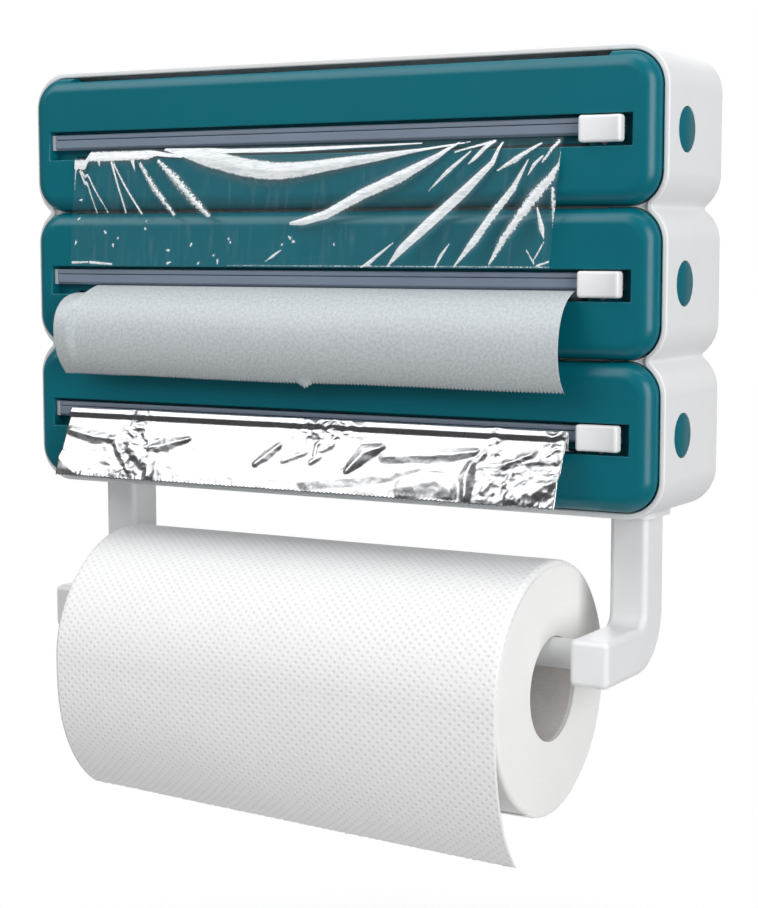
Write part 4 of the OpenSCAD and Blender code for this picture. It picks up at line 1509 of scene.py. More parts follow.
FILM_STREAKS = (
    Streak(((0, 0.06, 2.9), (0.08, 0.065, 3.1), (0.165, 0.06, 2.9), (0.185, 0.05, 1.4)), 0.2),
    Streak(((0.175, 0.045, 1.6), (0.21, 0.07, 1.2), (0.24, 0.09, 0.4))),
    Streak(((0.13, 0.09, 1.4), (0.14, 0.2, 0.2))),
    Streak(((0.055, 0.09, 1.2), (0.06, 0.16, 0.2)), 0.3),
    Streak(((0.005, 0.1, 0.4), (0.005, 0.29, 0.3)), 0.3),
    Streak(((0.015, 0.12, 0.6), (0.06, 0.55, 0.35)), 0.2),
    Streak(((0.02, 0.13, 0.5), (0.05, 0.34, 0.5), (0.085, 0.55, 0.3)), 0.3),
    Streak(((0.085, 0.12, 0.7), (0.125, 0.55, 0.5)), 0.2),
    Streak(((0.09, 0.13, 0.5), (0.125, 0.36, 0.6), (0.16, 0.56, 0.6)), 0.3),
    Streak(((0.15, 0.14, 0.9), (0.185, 0.35, 1.8), (0.23, 0.57, 0.9)), 0.9),
    Streak(((0.19, 0.12, 0.9), (0.23, 0.28, 2.5), (0.27, 0.45, 2.2), (0.305, 0.58, 1.2)), 0.8),
    Streak(
        (
            (0.205, 0.02, 0.7), (0.25, 0.06, 2.8), (0.29, 0.1, 4.6), (0.365, 0.18, 5.0),
            (0.405, 0.21, 5.0), (0.44, 0.225, 4.7), (0.475, 0.22, 4.3), (0.52, 0.2, 3.6),
            (0.635, 0.135, 2.2), (0.72, 0.085, 0.8), (0.81, 0.025, 0.3),
        ),
        0.12,
    ),
    Streak(
        ((0.2, 0.015, 0.8), (0.29, 0.03, 1.2), (0.34, 0.045, 1.3), (0.465, 0.05, 1.3), (0.72, 0.025, 0.35))
    ),
    Streak(
        (
            (0.475, 0.65, 0.8), (0.5, 0.635, 2.0), (0.545, 0.58, 2.5), (0.615, 0.42, 3.0),
            (0.685, 0.295, 3.2), (0.755, 0.135, 1.5), (0.79, 0.03, 0.5),
        ),
        0.15,
    ),
    Streak(
        (
            (0.67, 0.995, 0.3), (0.695, 0.86, 2.3), (0.745, 0.655, 3.1), (0.805, 0.42, 2.8),
            (0.855, 0.2, 1.5), (0.87, 0.04, 0.6),
        ),
        0.08,
    ),
    Streak(
        ((0.795, 0.995, 0.3), (0.83, 0.795, 2.3), (0.865, 0.57, 2.3), (0.895, 0.4, 1.8), (0.92, 0.18, 0.3)),
        0.25,
    ),
    Streak(
        (
            (0.98, 0.06, 0.5), (0.975, 0.21, 0.9), (0.96, 0.325, 2.4), (0.935, 0.45, 3.3),
            (0.905, 0.635, 2.4), (0.88, 0.8, 2.0), (0.86, 0.97, 0.6),
        ),
        0.45,
    ),
    Streak(((0.815, 0.105, 0.4), (0.775, 0.255, 1.2), (0.74, 0.41, 0.2)), 0.2),
    Streak(((0.855, 0.025, 0.9), (0.785, 0.11, 0.4)), 0.4),
    Streak(((0.85, 0.035, 1.3), (0.825, 0.15, 1.1), (0.81, 0.21, 0.2)), 0.2),
    Streak(((0.94, 0.055, 0.6), (0.895, 0.18, 1.5), (0.865, 0.26, 0.3)), 0.4),
    Streak(((0.97, 0.04, 1.1), (0.945, 0.2, 0.6)), 0.7),
    Streak(((0.945, 0.155, 0.5), (0.93, 0.22, 1.0), (0.92, 0.305, 0.2)), 0.2),
    Streak(((0.94, 0.54, 0.4), (0.95, 0.7, 1.6), (0.955, 0.78, 0.2)), 0.15),
    Streak(((0.965, 0.4, 1.0), (0.97, 0.6, 1.2), (0.97, 0.69, 0.3)), 0.9),
    Streak(((0.785, 0.815, 0.3), (0.77, 0.91, 0.9), (0.76, 1.0, 0.3))),
    Streak(((0.68, 0.805, 0.3), (0.65, 0.91, 0.8), (0.635, 0.965, 1.1), (0.62, 1.0, 0.3))),
    Streak(((0.46, 0.865, 0.3), (0.445, 0.91, 0.8), (0.43, 0.955, 0.2)), 0.3),
    Streak(((0.925, 0.86, 0.3), (0.94, 0.965, 0.5)), 0.3),
    Streak(((0.94, 0.93, 0.4), (0.955, 0.805, 0.4)), 0.3),
    Streak(((0.945, 0.98, 0.5), (0.965, 0.95, 0.5)), 0.3),
    Streak(((0.01, 0.97, 0.7), (0.045, 0.97, 0.5)), 0.3),
    Streak(((0.05, 0.97, 0.8), (0.1, 0.985, 0.5)), 0.3),
    Streak(((0.35, 0.993, 0.3), (0.98, 0.993, 0.35)), 0.3),
)
FILM_FLECKS = (
    (0.02, 0.39), (0.02, 0.56), (0.015, 0.79), (0.08, 0.71), (0.17, 0.685), (0.17, 0.625), (0.11, 0.76),
    (0.1, 0.83), (0.22, 0.865), (0.225, 0.97), (0.27, 0.825), (0.35, 0.77), (0.355, 0.805), (0.32, 0.91),
    (0.29, 0.97), (0.33, 0.965), (0.475, 0.76), (0.485, 0.795), (0.46, 0.825), (0.565, 0.815),
)
FOIL_FOLDS = (
    Streak(((0.01, 0.12, 1.6), (0.07, 0.235, 2.2), (0.11, 0.26, 1.4))),
    Streak(((0.115, 0.24, 1.4), (0.14, 0.62, 2.0))),
    Streak(((0.15, 0.12, 0.9), (0.19, 0.41, 0.9))),
    Streak(((0.15, 0.39, 1.8), (0.17, 0.5, 2.6), (0.195, 0.7, 2.4))),
    Streak(((0.2, 0.63, 2.6), (0.205, 0.92, 2.2))),
    Streak(((0.145, 0.66, 1.2), (0.165, 0.9, 1.2))),
    Streak(((0.195, 0.38, 1.6), (0.23, 0.3, 2.2), (0.275, 0.17, 0.9))),
    Streak(((0, 0.68, 3.4), (0.015, 0.8, 3.8), (0.045, 0.96, 2.4)), slope=0.4),
    Streak(((0.36, 0.35, 0.8), (0.365, 0.19, 0.8)), slope=0.3),
    Streak(((0.425, 0.565, 1.1), (0.445, 0.38, 1.8), (0.465, 0.2, 1.2))),
    Streak(((0.48, 0.48, 1.0), (0.52, 0.29, 1.1))),
    Streak(((0.535, 0.465, 1.0), (0.55, 0.36, 1.1))),
    Streak(((0.54, 0.33, 0.9), (0.54, 0.13, 0.9))),
    Streak(((0.55, 0.245, 1.0), (0.57, 0.14, 1.1))),
    Streak(((0.61, 0.585, 1.6), (0.635, 0.245, 2.8), (0.665, 0.13, 1.6))),
    Streak(((0.595, 0.67, 0.9), (0.605, 0.525, 0.9))),
    Streak(((0.675, 0.285, 2.0), (0.735, 0.235, 2.4), (0.8, 0.175, 2.2), (0.845, 0.1, 1.2)), slope=0.4),
    Streak(((0.53, 0.825, 2.2), (0.64, 0.685, 2.6), (0.74, 0.48, 2.0)), slope=0.24),
    Streak(((0.725, 0.81, 3.4), (0.78, 0.655, 4.2), (0.81, 0.795, 3.4)), slope=0.27),
    Streak(((0.84, 0.34, 1.8), (0.835, 0.6, 2.8), (0.84, 0.89, 2.0))),
    Streak(((0.85, 0.245, 1.2), (0.86, 0.13, 1.4))),
    Streak(((0.9, 0.31, 1.5), (0.945, 0.09, 1.9))),
    Streak(((0.855, 0.365, 1.0), (0.99, 0.19, 1.4)), slope=0.27),
    Streak(((0.905, 0.67, 0.9), (0.915, 0.47, 0.9))),
    Streak(((0.87, 0.8, 1.2), (0.88, 0.65, 1.4))),
    Streak(((0.925, 0.91, 3.2), (0.955, 0.75, 4.6), (0.99, 0.59, 3.2)), slope=0.4),
)


@dataclass
class HangingSheet:
    """The free end of one wrap: a path in the side view, swept across the width."""

    bay: Bay
    cut: Pair
    columns: int = 320
    rows: int = 90
    shift: float = -5.5 * MM
    drawn_in: float = 0.0
    gather: Pair = (0.0, 0.0)
    inner_share: float = 0.18
    exit_height: float = -7.6 * MM
    lip_lift: float = 0.7 * MM
    lip_ease: float = 1.0 * MM
    head_gap: float = 0.3 * MM
    head_start: Pair = (0.024, 0.045)
    blend_drop: float = 32.0 * MM
    thick: float = 0.0
    tooth_pitch: float = 2.0 * MM
    tooth_depth: float = 0.0

    @property
    def lip(self) -> Vector:
        """Gives the place, as depth and height, where the sheet leaves its slot."""
        front = self.bay.box("cover")[0].y
        return Vector((front - self.lip_lift, self.bay.centre.z + self.exit_height))

    @property
    def head(self) -> Vector:
        """Gives the place, as depth and height, just under the rail's front edge."""
        rail_low = self.bay.box("rail")[0]
        return Vector((rail_low.y - self.head_gap, rail_low.z - self.head_gap))

    @property
    def source(self) -> Vector:
        """Gives the place, as depth and height, where the sheet leaves its roll."""
        sheet_high = self.bay.box("sheet")[1]
        return Vector((sheet_high.y, self.lip.y))

    def path(self, across: float, down: float) -> Vector:
        """Gives the hanging part's path, as depth and height."""
        raise NotImplementedError

    def mark(self, across: float, down: float) -> Pair:
        """Gives how strongly and how roughly a point is creased."""
        return (0.0, 0.0)

    def relief(self, across: float, down: float, crease: float) -> float:
        """Gives how far folds lift the sheet off its path."""
        raise NotImplementedError

    def edge_drop(self, across: float) -> float:
        """Gives how much further than its path the lower edge hangs at one place, with its teeth."""
        phase = across * self.cut[0] / self.tooth_pitch
        return abs(2 * (phase - math.floor(phase)) - 1) * self.tooth_depth

    def raised(self, across: float) -> float:
        """Gives how far the sheet's head lies up against the rail: not where the knob ends its slide."""
        return smooth(*self.head_start, across)

    def drawn(self, across: float, share: float) -> float:
        """Gives a point's place across the cut's width, where the sheet is drawn in from its sides."""
        kept = self.cut[0] - self.drawn_in - sum(self.gather) * share
        return (self.gather[0] * share + kept * across) / self.cut[0]

    def point(self, across: float, share: float, crease: float) -> Vector:
        """Gives a point of the sheet.

        Args:
            across: The share of the width, from the left.
            share: The share of the length, from the roll.
            crease: How strongly the point is creased.

        Returns:
            The point in the frame.
        """
        x = self.shift - self.cut[0] / 2 + self.cut[0] * self.drawn(across, share)
        if share < self.inner_share:
            run = share / self.inner_share
            head = self.path(across, 0)
            depth = self.source.x + (head.x - self.source.x) * run
            return Vector((x, depth, self.source.y + (head.y - self.source.y) * run ** 3))
        down = (share - self.inner_share) / (1 - self.inner_share)
        here = self.path(across, down)
        ahead = self.path(across, min(1.0, down + 0.01)) - self.path(across, max(0.0, down - 0.01))
        off = Vector((ahead.y, -ahead.x)).normalized() * self.relief(across, down, crease)
        low = self.edge_drop(across) * smooth(0.9, 1.0, down)
        return Vector((x, here.x + off.x, here.y + off.y - low))

    def mesh(self) -> BMesh:
        """Lays a flat grid of the cut over the sheet's shape and marks its creases."""
        bm = bmesh.new()
        bm.loops.layers.uv.new("cut")
        crease_layer = bm.verts.layers.float.new("crease")
        rough_layer = bm.verts.layers.float.new("rough")
        bmesh.ops.create_grid(bm, x_segments=self.columns, y_segments=self.rows, size=0.5, calc_uvs=True)
        for vert in bm.verts:
            across, share = vert.co.x + 0.5, 0.5 - vert.co.y
            down = (share - self.inner_share) / (1 - self.inner_share)
            crease, rough = self.mark(self.drawn(across, share), down) if down > 0 else (-1.0, 0.0)
            vert[crease_layer] = crease
            vert[rough_layer] = rough
            vert.co = self.point(across, share, crease)
        return bm

    def hang(self, finish: Material, slot: str) -> None:
        """Args:
            finish: The sheet's material.
            slot: The record's slot for it.
        """
        name, node = self.bay.node("hanging_sheet"), self.bay.node("sheet")
        piece = make_piece(name, self.mesh(), finish, "", slot, [node], crease=180)
        if self.thick:
            thicken(piece, self.thick)
        lip = self.lip
        self.bay.node("cover_body")
        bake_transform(piece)
        self.bay.node("cover")


@dataclass
class FilmSheet(HangingSheet):
    """Clear film that hangs down over the next cover, creased from the slot."""

    cut: Pair = (300.0 * MM, 71.0 * MM)
    columns: int = 480
    rows: int = 110
    drawn_in: float = 6.0 * MM
    head_start: Pair = (0.024, 0.034)
    gather: Pair = (1.6 * MM, 4.0 * MM)
    drop: float = 58.6 * MM
    lean: float = 7.0 * MM
    ripple: float = 0.7 * MM
    fleck_turn: float = 2.4
    fleck_reach: Pair = (0.004, 0.015)
    fleck_size: Pair = (0.6, 0.4)
    fleck_widths: Pair = (0.35, 0.75)
    fleck_rough: float = 0.5

    def __post_init__(self) -> None:
        """Joins the creases and the small flecks, which lie every way and differ in size."""
        self.streaks = list(FILM_STREAKS)
        wide, long = self.fleck_reach
        mean, swing = self.fleck_size
        tail, head = self.fleck_widths
        for index, (x, y) in enumerate(FILM_FLECKS):
            angle = index * self.fleck_turn
            size = mean + swing * math.sin(3 * angle)
            off = Vector((wide * math.cos(angle), long * math.sin(angle))) * size
            spots = ((x - off.x, y - off.y, tail), (x + off.x, y + off.y, head))
            self.streaks.append(Streak(spots, self.fleck_rough))

    def path(self, across: float, down: float) -> Vector:
        """Gives a short run over the cover's lip and a near-straight fall with a slight lean."""
        lip = self.lip
        end = lip - Vector((self.lean, self.drop))
        over = lip - Vector((self.lip_ease, 2 * self.lip_ease)) / 4
        return lip.lerp(end, down).lerp(along((self.head, over, end), down), self.raised(across))

    def mark(self, across: float, down: float) -> Pair:
        """Gives the deepest crease at a point."""
        size = (self.cut[0] / MM, self.drop / MM)
        return max((streak.depth(across, down, size), streak.rough) for streak in self.streaks)

    def relief(self, across: float, down: float, crease: float) -> float:
        """Lifts the film along its creases and in slow ripples."""
        wave = noise.noise(Vector((across * 9 + down * 2.5, down * 2.2, 3.0)))
        return smooth(0, 0.25, down) * self.ripple * (wave + max(0.0, crease))

    def build(self) -> None:
        """Makes the film."""
        self.hang(ClearFilm("clear_film", self.cut).make(), "cling_film")


@dataclass
class PaperSheet(HangingSheet):
    """Baking paper that springs forward, swells and tucks in at its toothed edge."""

    cut: Pair = (300.0 * MM, 71.4 * MM)
    columns: int = 600
    rows: int = 60
    thick: float = 0.15 * MM
    bulge: float = 20.0 * MM
    drop: float = 44.0 * MM
    swell: Pair = (1.1, 0.8)
    tuck: float = 0.5
    springs: Sequence[Pair] = ((1.5, 2.0), (1.3, 6.0))
    cockles: Sequence[tuple[float, float, float, float]] = (
        (3.2, 1.4, 7.0, 0.9 * MM), (14.0, 3.0, 11.0, 0.25 * MM),
    )
    tooth_pitch: float = 2.0 * MM
    tooth_depth: float = 0.7 * MM
    tear_place: float = 0.515
    tear_half: float = 0.016
    tear_depth: float = 2.6 * MM

    def path(self, across: float, down: float) -> Vector:
        """Gives the swelling fall, between its runs from the lip and from the rail."""
        lip = self.lip
        swell = lip - Vector((self.swell[0] * self.bulge, self.swell[1] * self.drop))
        end = lip - Vector((self.tuck * self.bulge, self.drop))
        runs = []
        for start, (push, fall) in zip((lip, self.head), self.springs):
            sprung = start - Vector((push * self.bulge, fall * self.lip_ease))
            runs.append(bezier((start, sprung, swell, end), down))
        return runs[0].lerp(runs[1], self.raised(across))

    def relief(self, across: float, down: float, crease: float) -> float:
        """Gives slow cockles that grow towards the lower edge."""
        height = 0.0
        for waves_across, waves_down, layer, lift in self.cockles:
            height += lift * noise.noise(Vector((across * waves_across, down * waves_down, layer)))
        return smooth(0, 0.4, down) * height

    def edge_drop(self, across: float) -> float:
        """Gives the teeth of the torn edge and one small tab."""
        tab = max(0.0, 1 - abs(across - self.tear_place) / self.tear_half) * self.tear_depth
        return super().edge_drop(across) + tab

    def build(self) -> None:
        """Makes the paper."""
        self.hang(BakingPaper("baking_paper", self.cut).make(), "baking_paper")


@dataclass
class FoilSheet(HangingSheet):
    """Foil that stands up before the recess and falls forward over its own crumpled crest."""

    cut: Pair = (300.0 * MM, 66.0 * MM)
    columns: int = 400
    rows: int = 115
    drop: float = 25.0 * MM
    lean: float = 21.0 * MM
    stand_off: float = 2.2 * MM
    bends: Sequence[Pair] = (
        (0.8, -6.6), (0.0, -4.0), (0.0, 1.5), (-0.4, 2.7),
        (-1.2, 3.1), (-2.7, 0.4), (-2.2, -2.4), (-3.4, -5.0),
    )
    crumples: Sequence[Pair] = ((0.157, 0.03), (0.55, 0.075), (0.875, 0.015), (0.985, 0.025))
    face_start: float = 0.46
    face_length: float = 28.0
    face_ease: float = 0.12
    fold_spread: float = 1.9
    crumple_grain: float = 9.0
    crest_crumple: float = 1.0
    face_crumple: float = 0.55
    busy_left: Pair = (0.16, 0.06)
    busy_right: Pair = (0.8, 0.92)
    busy_least: float = 0.3
    wave_grain: float = 30.0
    wave_height: float = 0.3 * MM
    thick: float = 0.08 * MM
    tooth_pitch: float = 2.5 * MM
    tooth_depth: float = 0.9 * MM

    def __post_init__(self) -> None:
        """Works out the path's corners: up from the lip, over the crest, in and down the face."""
        front = self.bay.box("knob")[0].y - self.stand_off
        level = self.bay.centre.z
        bends = [Vector((front + depth * MM, level + height * MM)) for depth, height in self.bends]
        self.corners = [self.lip, *bends, self.lip - Vector((self.lean, self.drop))]

    def path(self, across: float, down: float) -> Vector:
        """Gives the rise, the crest, the tuck below it and the straight fall."""
        return along(self.corners, down)

    def mark(self, across: float, down: float) -> Pair:
        """Gives how high the folds of the face lift a point, in metres."""
        size = (self.cut[0] / MM / self.fold_spread, self.face_length / self.fold_spread)
        face = (down - self.face_start) / (1 - self.face_start)
        return (max(fold.height(fold.depth(across, face, size)) for fold in FOIL_FOLDS), 0.0)

    def relief(self, across: float, down: float, crease: float) -> float:
        """Adds crumples along the crest and broad waves to the folds."""
        place = Vector((across * self.cut[0], down * self.cut[1], 0)) / MM
        sharp = noise.ridged_multi_fractal(place / self.crumple_grain, 0.9, 2.1, 3, 1.0, 2.0)
        broad = noise.noise(place / self.wave_grain + Vector((5, 1, 2)))

        def hump(middle: float, wide: float) -> float:
            """Gives 1 at a place across the sheet and less beside it."""
            return math.exp(-(((across - middle) / wide) ** 2))

        near = sum(hump(*place_and_width) for place_and_width in self.crumples)
        face = smooth(self.face_start, self.face_start + self.face_ease, down)
        crest = smooth(0.15, 0.25, down) * (1 - face)
        busy = hump(*self.busy_left) + smooth(*self.busy_right, across) + self.busy_least
        height = self.crest_crumple * crest * near + self.face_crumple * face * busy
        crumple = MM * height * (sharp - 1.0)
        return smooth(0, 0.2, down) * (self.wave_height * broad) + crumple + max(0.0, crease)

    def build(self) -> None:
        """Makes the foil."""
        self.hang(BrightFoil("bright_foil", self.cut).make(), "foil")


@dataclass
class TowelHolder:
    """The arms with their sockets, the spindle, and the towel roll that hangs on it."""

    palette: Palette
    wrap_degrees: float = 295.0
    wrap_share: float = 0.8
    flap_length: float = 86.0 * MM
    flap_degrees: Pair = (60.0, 41.0)
    flap_power: float = 1.5
    flap_steps: int = 60
    cut: Pair = (262.0 * MM, 417.0 * MM)
    layer: float = 0.4 * MM
    end_round: float = 2.8 * MM
    columns: int = 190
    rows: int = 240
    core_wall: float = 1.5 * MM
    core_inset: float = 2.2 * MM
    arm_section: Pair = (20.4 * MM, 23.4 * MM)
    arm_round: float = 3.2 * MM
    elbow: float = 30.0 * MM
    tip_round: float = 3.0 * MM
    arm_seam: float = 0.3 * MM
    spigot: Pair = (14.0 * MM, 18.0 * MM)
    skin: float = 0.3 * MM
    ripple_waves: Pair = (4.0, 9.0)
    wound_ripple: float = 0.15 * MM
    flap_ripple: float = 1.2 * MM
    ragged: float = 0.7 * MM
    ragged_waves: float = 130.0
    ragged_start: float = 0.97

    def __post_init__(self) -> None:
        """Reads the roll's place and size from the solids."""
        place = joint_place("towel_roll_spin")
        low, high = node_box("towel_roll")
        self.axis = Vector((0, place.y, place.z))
        self.radius = (high.z - low.z) / 2
        self.ends = (low.x, high.x)

    def build(self) -> None:
        """Makes the roll and dresses what carries it."""
        for side in Side:
            self._arm(side.label)
            dress(f"arm_socket_{side.label}", self.palette.white)
        dress("towel_spindle", self.palette.white)
        self._core()
        self._roll()
        self._sheet()

    def _arm(self, side: str) -> None:
        """Models one arm: a rounded bar that drops from its socket, bends forward and ends in a soft tip.

        Args:
            side: The arm's side, as its node's name gives it.
        """
        low, high = node_box(f"towel_arm_{side}")
        top = node_box(f"arm_socket_{side}")[0].z - self.arm_seam
        middle = (low.x + high.x) / 2
        width, depth = self.arm_section
        bm = bmesh.new()
        place = Matrix.Translation((middle, high.y - depth / 2, top))
        section = place @ Matrix.Diagonal((width, depth, 1, 1))
        made = bmesh.ops.create_grid(bm, x_segments=1, y_segments=1, size=0.5, matrix=section)
        bmesh.ops.bevel(
            bm,
            geom=made["verts"],
            offset=self.arm_round,
            offset_type="OFFSET",
            segments=6,
            profile=0.5,
            affect="VERTICES",
            material=-1,
        )
        loop = draw_out(bm, bm.edges[:], 2, low.z + self.elbow)
        bent = bmesh.ops.spin(
            bm,
            geom=[*{vert for edge in loop for vert in edge.verts}, *loop],
            cent=(middle, high.y - self.elbow, low.z + self.elbow),
            axis=X_AXIS,
            angle=-math.pi / 2,
            steps=16,
        )["geom_last"]
        tip = draw_out(bm, [item for item in bent if isinstance(item, BMEdge)], 1, low.y)
        bmesh.ops.contextual_create(bm, geom=tip)
        outward(bm)
        bevel(bm, edges_at(bm, 1, low.y), self.tip_round, 6)
        half = Vector((self.spigot[0] / 2, self.spigot[1] / 2, 0))
        foot = Vector((middle, high.y - depth / 2, top - self.arm_seam))
        block(bm, foot - half, foot + half + Z_AXIS * (high.z - foot.z))
        make_piece(
            f"towel_arm_{side}_bar",
            bm,
            self.palette.white,
            "towel_frame",
            "white_casing",
            [f"towel_arm_{side}"],
            even=True,
        )

    def _core(self) -> None:
        """Turns the cardboard core, which ends a little inside the roll."""
        low, high = node_box("towel_core")
        low, high = low + X_AXIS * self.core_inset, high - X_AXIS * self.core_inset
        outer = (high.z - low.z) / 2
        bm = bmesh.new()
        tube(bm, (low.x, high.x), (outer - self.core_wall, outer), self.axis, 80)
        outward(bm)
        make_piece("towel_core_tube", bm, self.palette.card, "towel_reel", "card", ["towel_core"])

    def _end_dip(self, across: float) -> float:
        """Gives how far the roll's softened ends draw in at a place along it."""
        off = min(across - self.ends[0], self.ends[1] - across)
        if off >= self.end_round:
            return 0.0
        share = 1 - max(0.0, off) / self.end_round
        return self.end_round * (1 - math.sqrt(1 - share ** 2))

    def _roll(self) -> None:
        """Turns the wound towel with soft ends."""
        core_low, core_high = node_box("towel_core")
        seat = (core_high.z - core_low.z) / 2 + ROLL_GAP
        bore = seat - self.core_wall
        first, last = self.ends
        inner_left, inner_right = first + self.core_inset, last - self.core_inset
        steps = 10
        ease = [self.end_round * math.sin(math.pi / 2 * i / steps) ** 2 for i in range(steps + 1)]
        left = [(first + off, self.radius - self._end_dip(first + off)) for off in ease]
        right = [(last - off, self.radius - self._end_dip(last - off)) for off in reversed(ease)]
        profile = [
            (inner_left, seat), (inner_left, bore), (first, bore), *left,
            *right, (last, bore), (inner_right, bore), (inner_right, seat),
        ]
        bm = bmesh.new()
        turn(bm, profile, self.axis, X_AXIS, Z_AXIS, 120)
        outward(bm)
        layers = WoundLayers(
            "wound_tissue",
            tint(0.88, 0.875, 0.86),
            tint(0.83, 0.825, 0.81),
            (self.axis.y, self.axis.z),
            0.7 * MM,
            (0.9, 1.0),
        )
        make_piece("wound_towel", bm, layers.make(), "towel_reel", "towel", ["towel_roll"], crease=60)

    def _sheet_point(self, across: float, share: float) -> Vector:
        """Gives a point of the outermost turn or of its hanging flap."""
        x = self.ends[0] + self.cut[0] * across
        waves_across, waves_along = self.ripple_waves
        ripple = noise.noise(Vector((across * waves_across, share * waves_along, 2.0)))
        if share < self.wrap_share:
            angle = math.radians(180 - self.wrap_degrees * (1 - share / self.wrap_share))
            dip = self._end_dip(x) * (1 - smooth(0.6, 0.8, share))
            reach = self.radius + self.layer - dip + self.wound_ripple * ripple
            return Vector((x, self.axis.y + reach * math.cos(angle), self.axis.z + reach * math.sin(angle)))
        down = (share - self.wrap_share) / (1 - self.wrap_share)
        place = self._flap(across, down)
        torn = noise.noise(Vector((across * self.ragged_waves, 0, 5.0)))
        ragged = self.ragged * torn * smooth(self.ragged_start, 1, down)
        off = self.flap_ripple * smooth(0, 1, down) * ripple
        reach = self.radius + self.layer
        return Vector((x, self.axis.y - reach + place.x - off, self.axis.z - place.y + ragged))

    def _flap(self, across: float, down: float) -> Vector:
        """Gives how far back and down a point of the hanging end lies, which curls in more at its left."""
        left, right = self.flap_degrees
        curl = math.radians(left + (right - left) * across)
        place = Vector((0, 0))
        step = down / self.flap_steps
        for index in range(self.flap_steps):
            lean = curl * ((index + 0.5) * step) ** self.flap_power
            place += Vector((math.sin(lean), math.cos(lean))) * self.flap_length * step
        return place

    def _sheet(self) -> None:
        """Lays the outermost turn over the roll and lets its end hang."""
        bm = bmesh.new()
        bm.loops.layers.uv.new("cut")
        bmesh.ops.create_grid(bm, x_segments=self.columns, y_segments=self.rows, size=0.5, calc_uvs=True)
        for vert in bm.verts:
            vert.co = self._sheet_point(vert.co.x + 0.5, 0.5 - vert.co.y)
        finish = EmbossedTissue("embossed_tissue_dot_shade", self.cut).make()
        piece = make_piece(
            "towel_end_sheet", bm, finish, "towel_frame", "towel", ["towel_sheet"], crease=180
        )
        thicken(piece, self.skin)


@dataclass(frozen=True)
class SoftBox:
    """One large soft lamp, aimed at the dispenser."""

    name: str
    place: tuple[float, float, float]
    size: Pair
    power: float

    def light(self, target: Vector) -> None:
        """Hangs the lamp and turns it to the target."""
        lamp = bpy.data.lights.new(self.name, "AREA")
        lamp.shape = "RECTANGLE"
        lamp.size, lamp.size_y = self.size
        lamp.energy = self.power
        stand = bpy.data.objects.new(self.name, lamp)
        stand.location = self.place
        stand.rotation_euler = (target - Vector(self.place)).to_track_quat("-Z", "Y").to_euler()
        bpy.context.scene.collection.objects.link(stand)


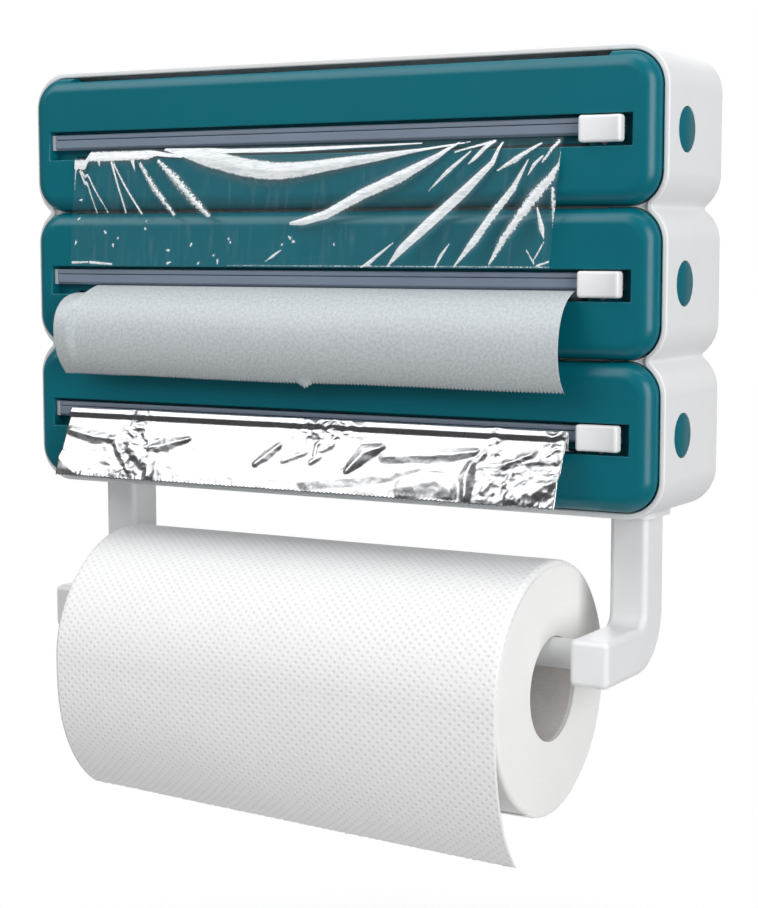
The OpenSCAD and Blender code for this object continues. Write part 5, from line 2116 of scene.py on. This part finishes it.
@dataclass
class Studio:
    """Camera, lamps, white surroundings and the pale floor."""

    eye: tuple[float, float, float] = (538.4 * MM, -959.3 * MM, 18.6 * MM)
    yaw: float = 29.70
    pitch: float = -5.98
    roll: float = 0.02
    focal_pixels: float = 1996.0
    image_height: float = 908.0
    sensor: float = 36.0
    floor_drop: float = 250.0 * MM
    floor_radius: float = 0.62
    ambient: float = 0.27
    floor_fade: Pair = (0.3, 0.95)
    backdrop_way: tuple[float, float, float] = (-0.49, 0.86, -0.10)
    backdrop_dark: Colour = tint(0.03, 0.03, 0.035)
    backdrop_levels: Sequence[Pair] = ((0.5, 0.09), (0.82, 0.12), (0.93, 0.5))
    backdrop_white: float = 0.97
    lamps: Sequence[SoftBox] = (
        SoftBox("key_lamp", (-1.25, -1.6, 1.6), (2.2, 1.8), 35.0),
        SoftBox("side_lamp", (2.1, -1.1, 0.35), (1.4, 2.0), 44.0),
        SoftBox("top_lamp", (0.1, -0.3, 2.1), (2.2, 1.4), 20.0),
        SoftBox("back_lamp", (-0.9, 2.4, 0.35), (2.0, 1.6), 17.0),
    )

    def build(self) -> None:
        """Sets up the picture."""
        bpy.context.scene.view_settings.view_transform = "Standard"
        self._camera()
        low, high = CAD_BOX
        middle = (Vector(low) + Vector(high)) / 2
        for lamp in self.lamps:
            lamp.light(middle)
        self._surroundings()
        self._floor(low[2] - self.floor_drop)

    def _camera(self) -> None:
        """Stands the camera where the picture was taken from."""
        camera = bpy.data.cameras.new("camera")
        camera.sensor_width = self.sensor
        camera.lens = self.focal_pixels * self.sensor / self.image_height
        stand = bpy.data.objects.new("camera", camera)
        stand.location = self.eye
        stand.rotation_euler = [math.radians(a) for a in (90 + self.pitch, self.roll, self.yaw)]
        bpy.context.scene.collection.objects.link(stand)
        bpy.context.scene.camera = stand

    def _surroundings(self) -> None:
        """Makes the surroundings white to look at, shaded in reflections and grey as light."""
        world = bpy.data.worlds.new("studio")
        bpy.context.scene.world = world
        world.use_nodes = True
        graph = NodeGraph(world.node_tree)
        rays = graph.node("LightPath").outputs
        mirrored = graph.math("MAXIMUM", rays["Is Glossy Ray"], rays["Is Transmission Ray"])
        plain = tint(self.ambient, self.ambient, self.ambient)
        shaded = graph.blend(mirrored, plain, self._backdrop(graph))
        seen = graph.blend(rays["Is Camera Ray"], shaded, tint(1, 1, 1))
        graph.put(graph.tree.nodes["Background"].inputs["Color"], seen)

    def _backdrop(self, graph: NodeGraph) -> Socket:
        """Gives the reflected backdrop: white behind the dispenser, darker towards the front."""
        facing = graph.node("VectorMath", {"operation": "DOT_PRODUCT"})
        graph.put(facing.inputs[0], graph.node("TexCoord").outputs["Generated"])
        graph.put(facing.inputs[1], self.backdrop_way)
        ramp = graph.node("ValToRGB", Fac=graph.remap(facing.outputs["Value"], (-1, 1), (0, 1)))
        first, last = ramp.color_ramp.elements
        first.color = self.backdrop_dark
        last.position = self.backdrop_white
        for place, level in self.backdrop_levels:
            ramp.color_ramp.elements.new(place).color = tint(level, level, level)
        return ramp.outputs[0]

    def _floor(self, level: float) -> None:
        """Lays a round pale floor that fades out at its edge and keeps the shadow."""
        bm = bmesh.new()
        place = Matrix.Translation((0, 0, level))
        bmesh.ops.create_circle(bm, cap_ends=True, segments=96, radius=self.floor_radius, matrix=place)
        mesh = bpy.data.meshes.new("floor")
        bm.to_mesh(mesh)
        bm.free()
        graph = FinishGraph("pale_floor")
        spoke = graph.place((1, 1, 0))
        reach = graph.length(spoke)
        start, end = (share * self.floor_radius for share in self.floor_fade)
        graph.surface(
            Base_Color=tint(0.85, 0.85, 0.85),
            Roughness=0.9,
            Alpha=graph.remap(reach, (start, end), (1, 0), True),
        )
        mesh.materials.append(graph.material)
        floor = bpy.data.objects.new("floor", mesh)
        bpy.context.scene.collection.objects.link(floor)


def main() -> None:
    """Builds the dispenser's pieces in order."""
    logging.basicConfig(level=logging.INFO, format="%(message)s")
    Studio().build()
    palette = Palette()
    bays = [Bay(wrap) for wrap in Wrap]
    Casing(palette, bays).build()
    for bay, notch in zip(bays, NOTCH_HEIGHTS):
        FrontCover(palette, bay, notch_height=notch).build()
        Cutter(palette, bay).build()
        WrapReel(palette, bay).build()
    FilmSheet(bays[0]).build()
    PaperSheet(bays[1]).build()
    FoilSheet(bays[2]).build()
    TowelHolder(palette).build()


if __name__ == "__main__":
    main()
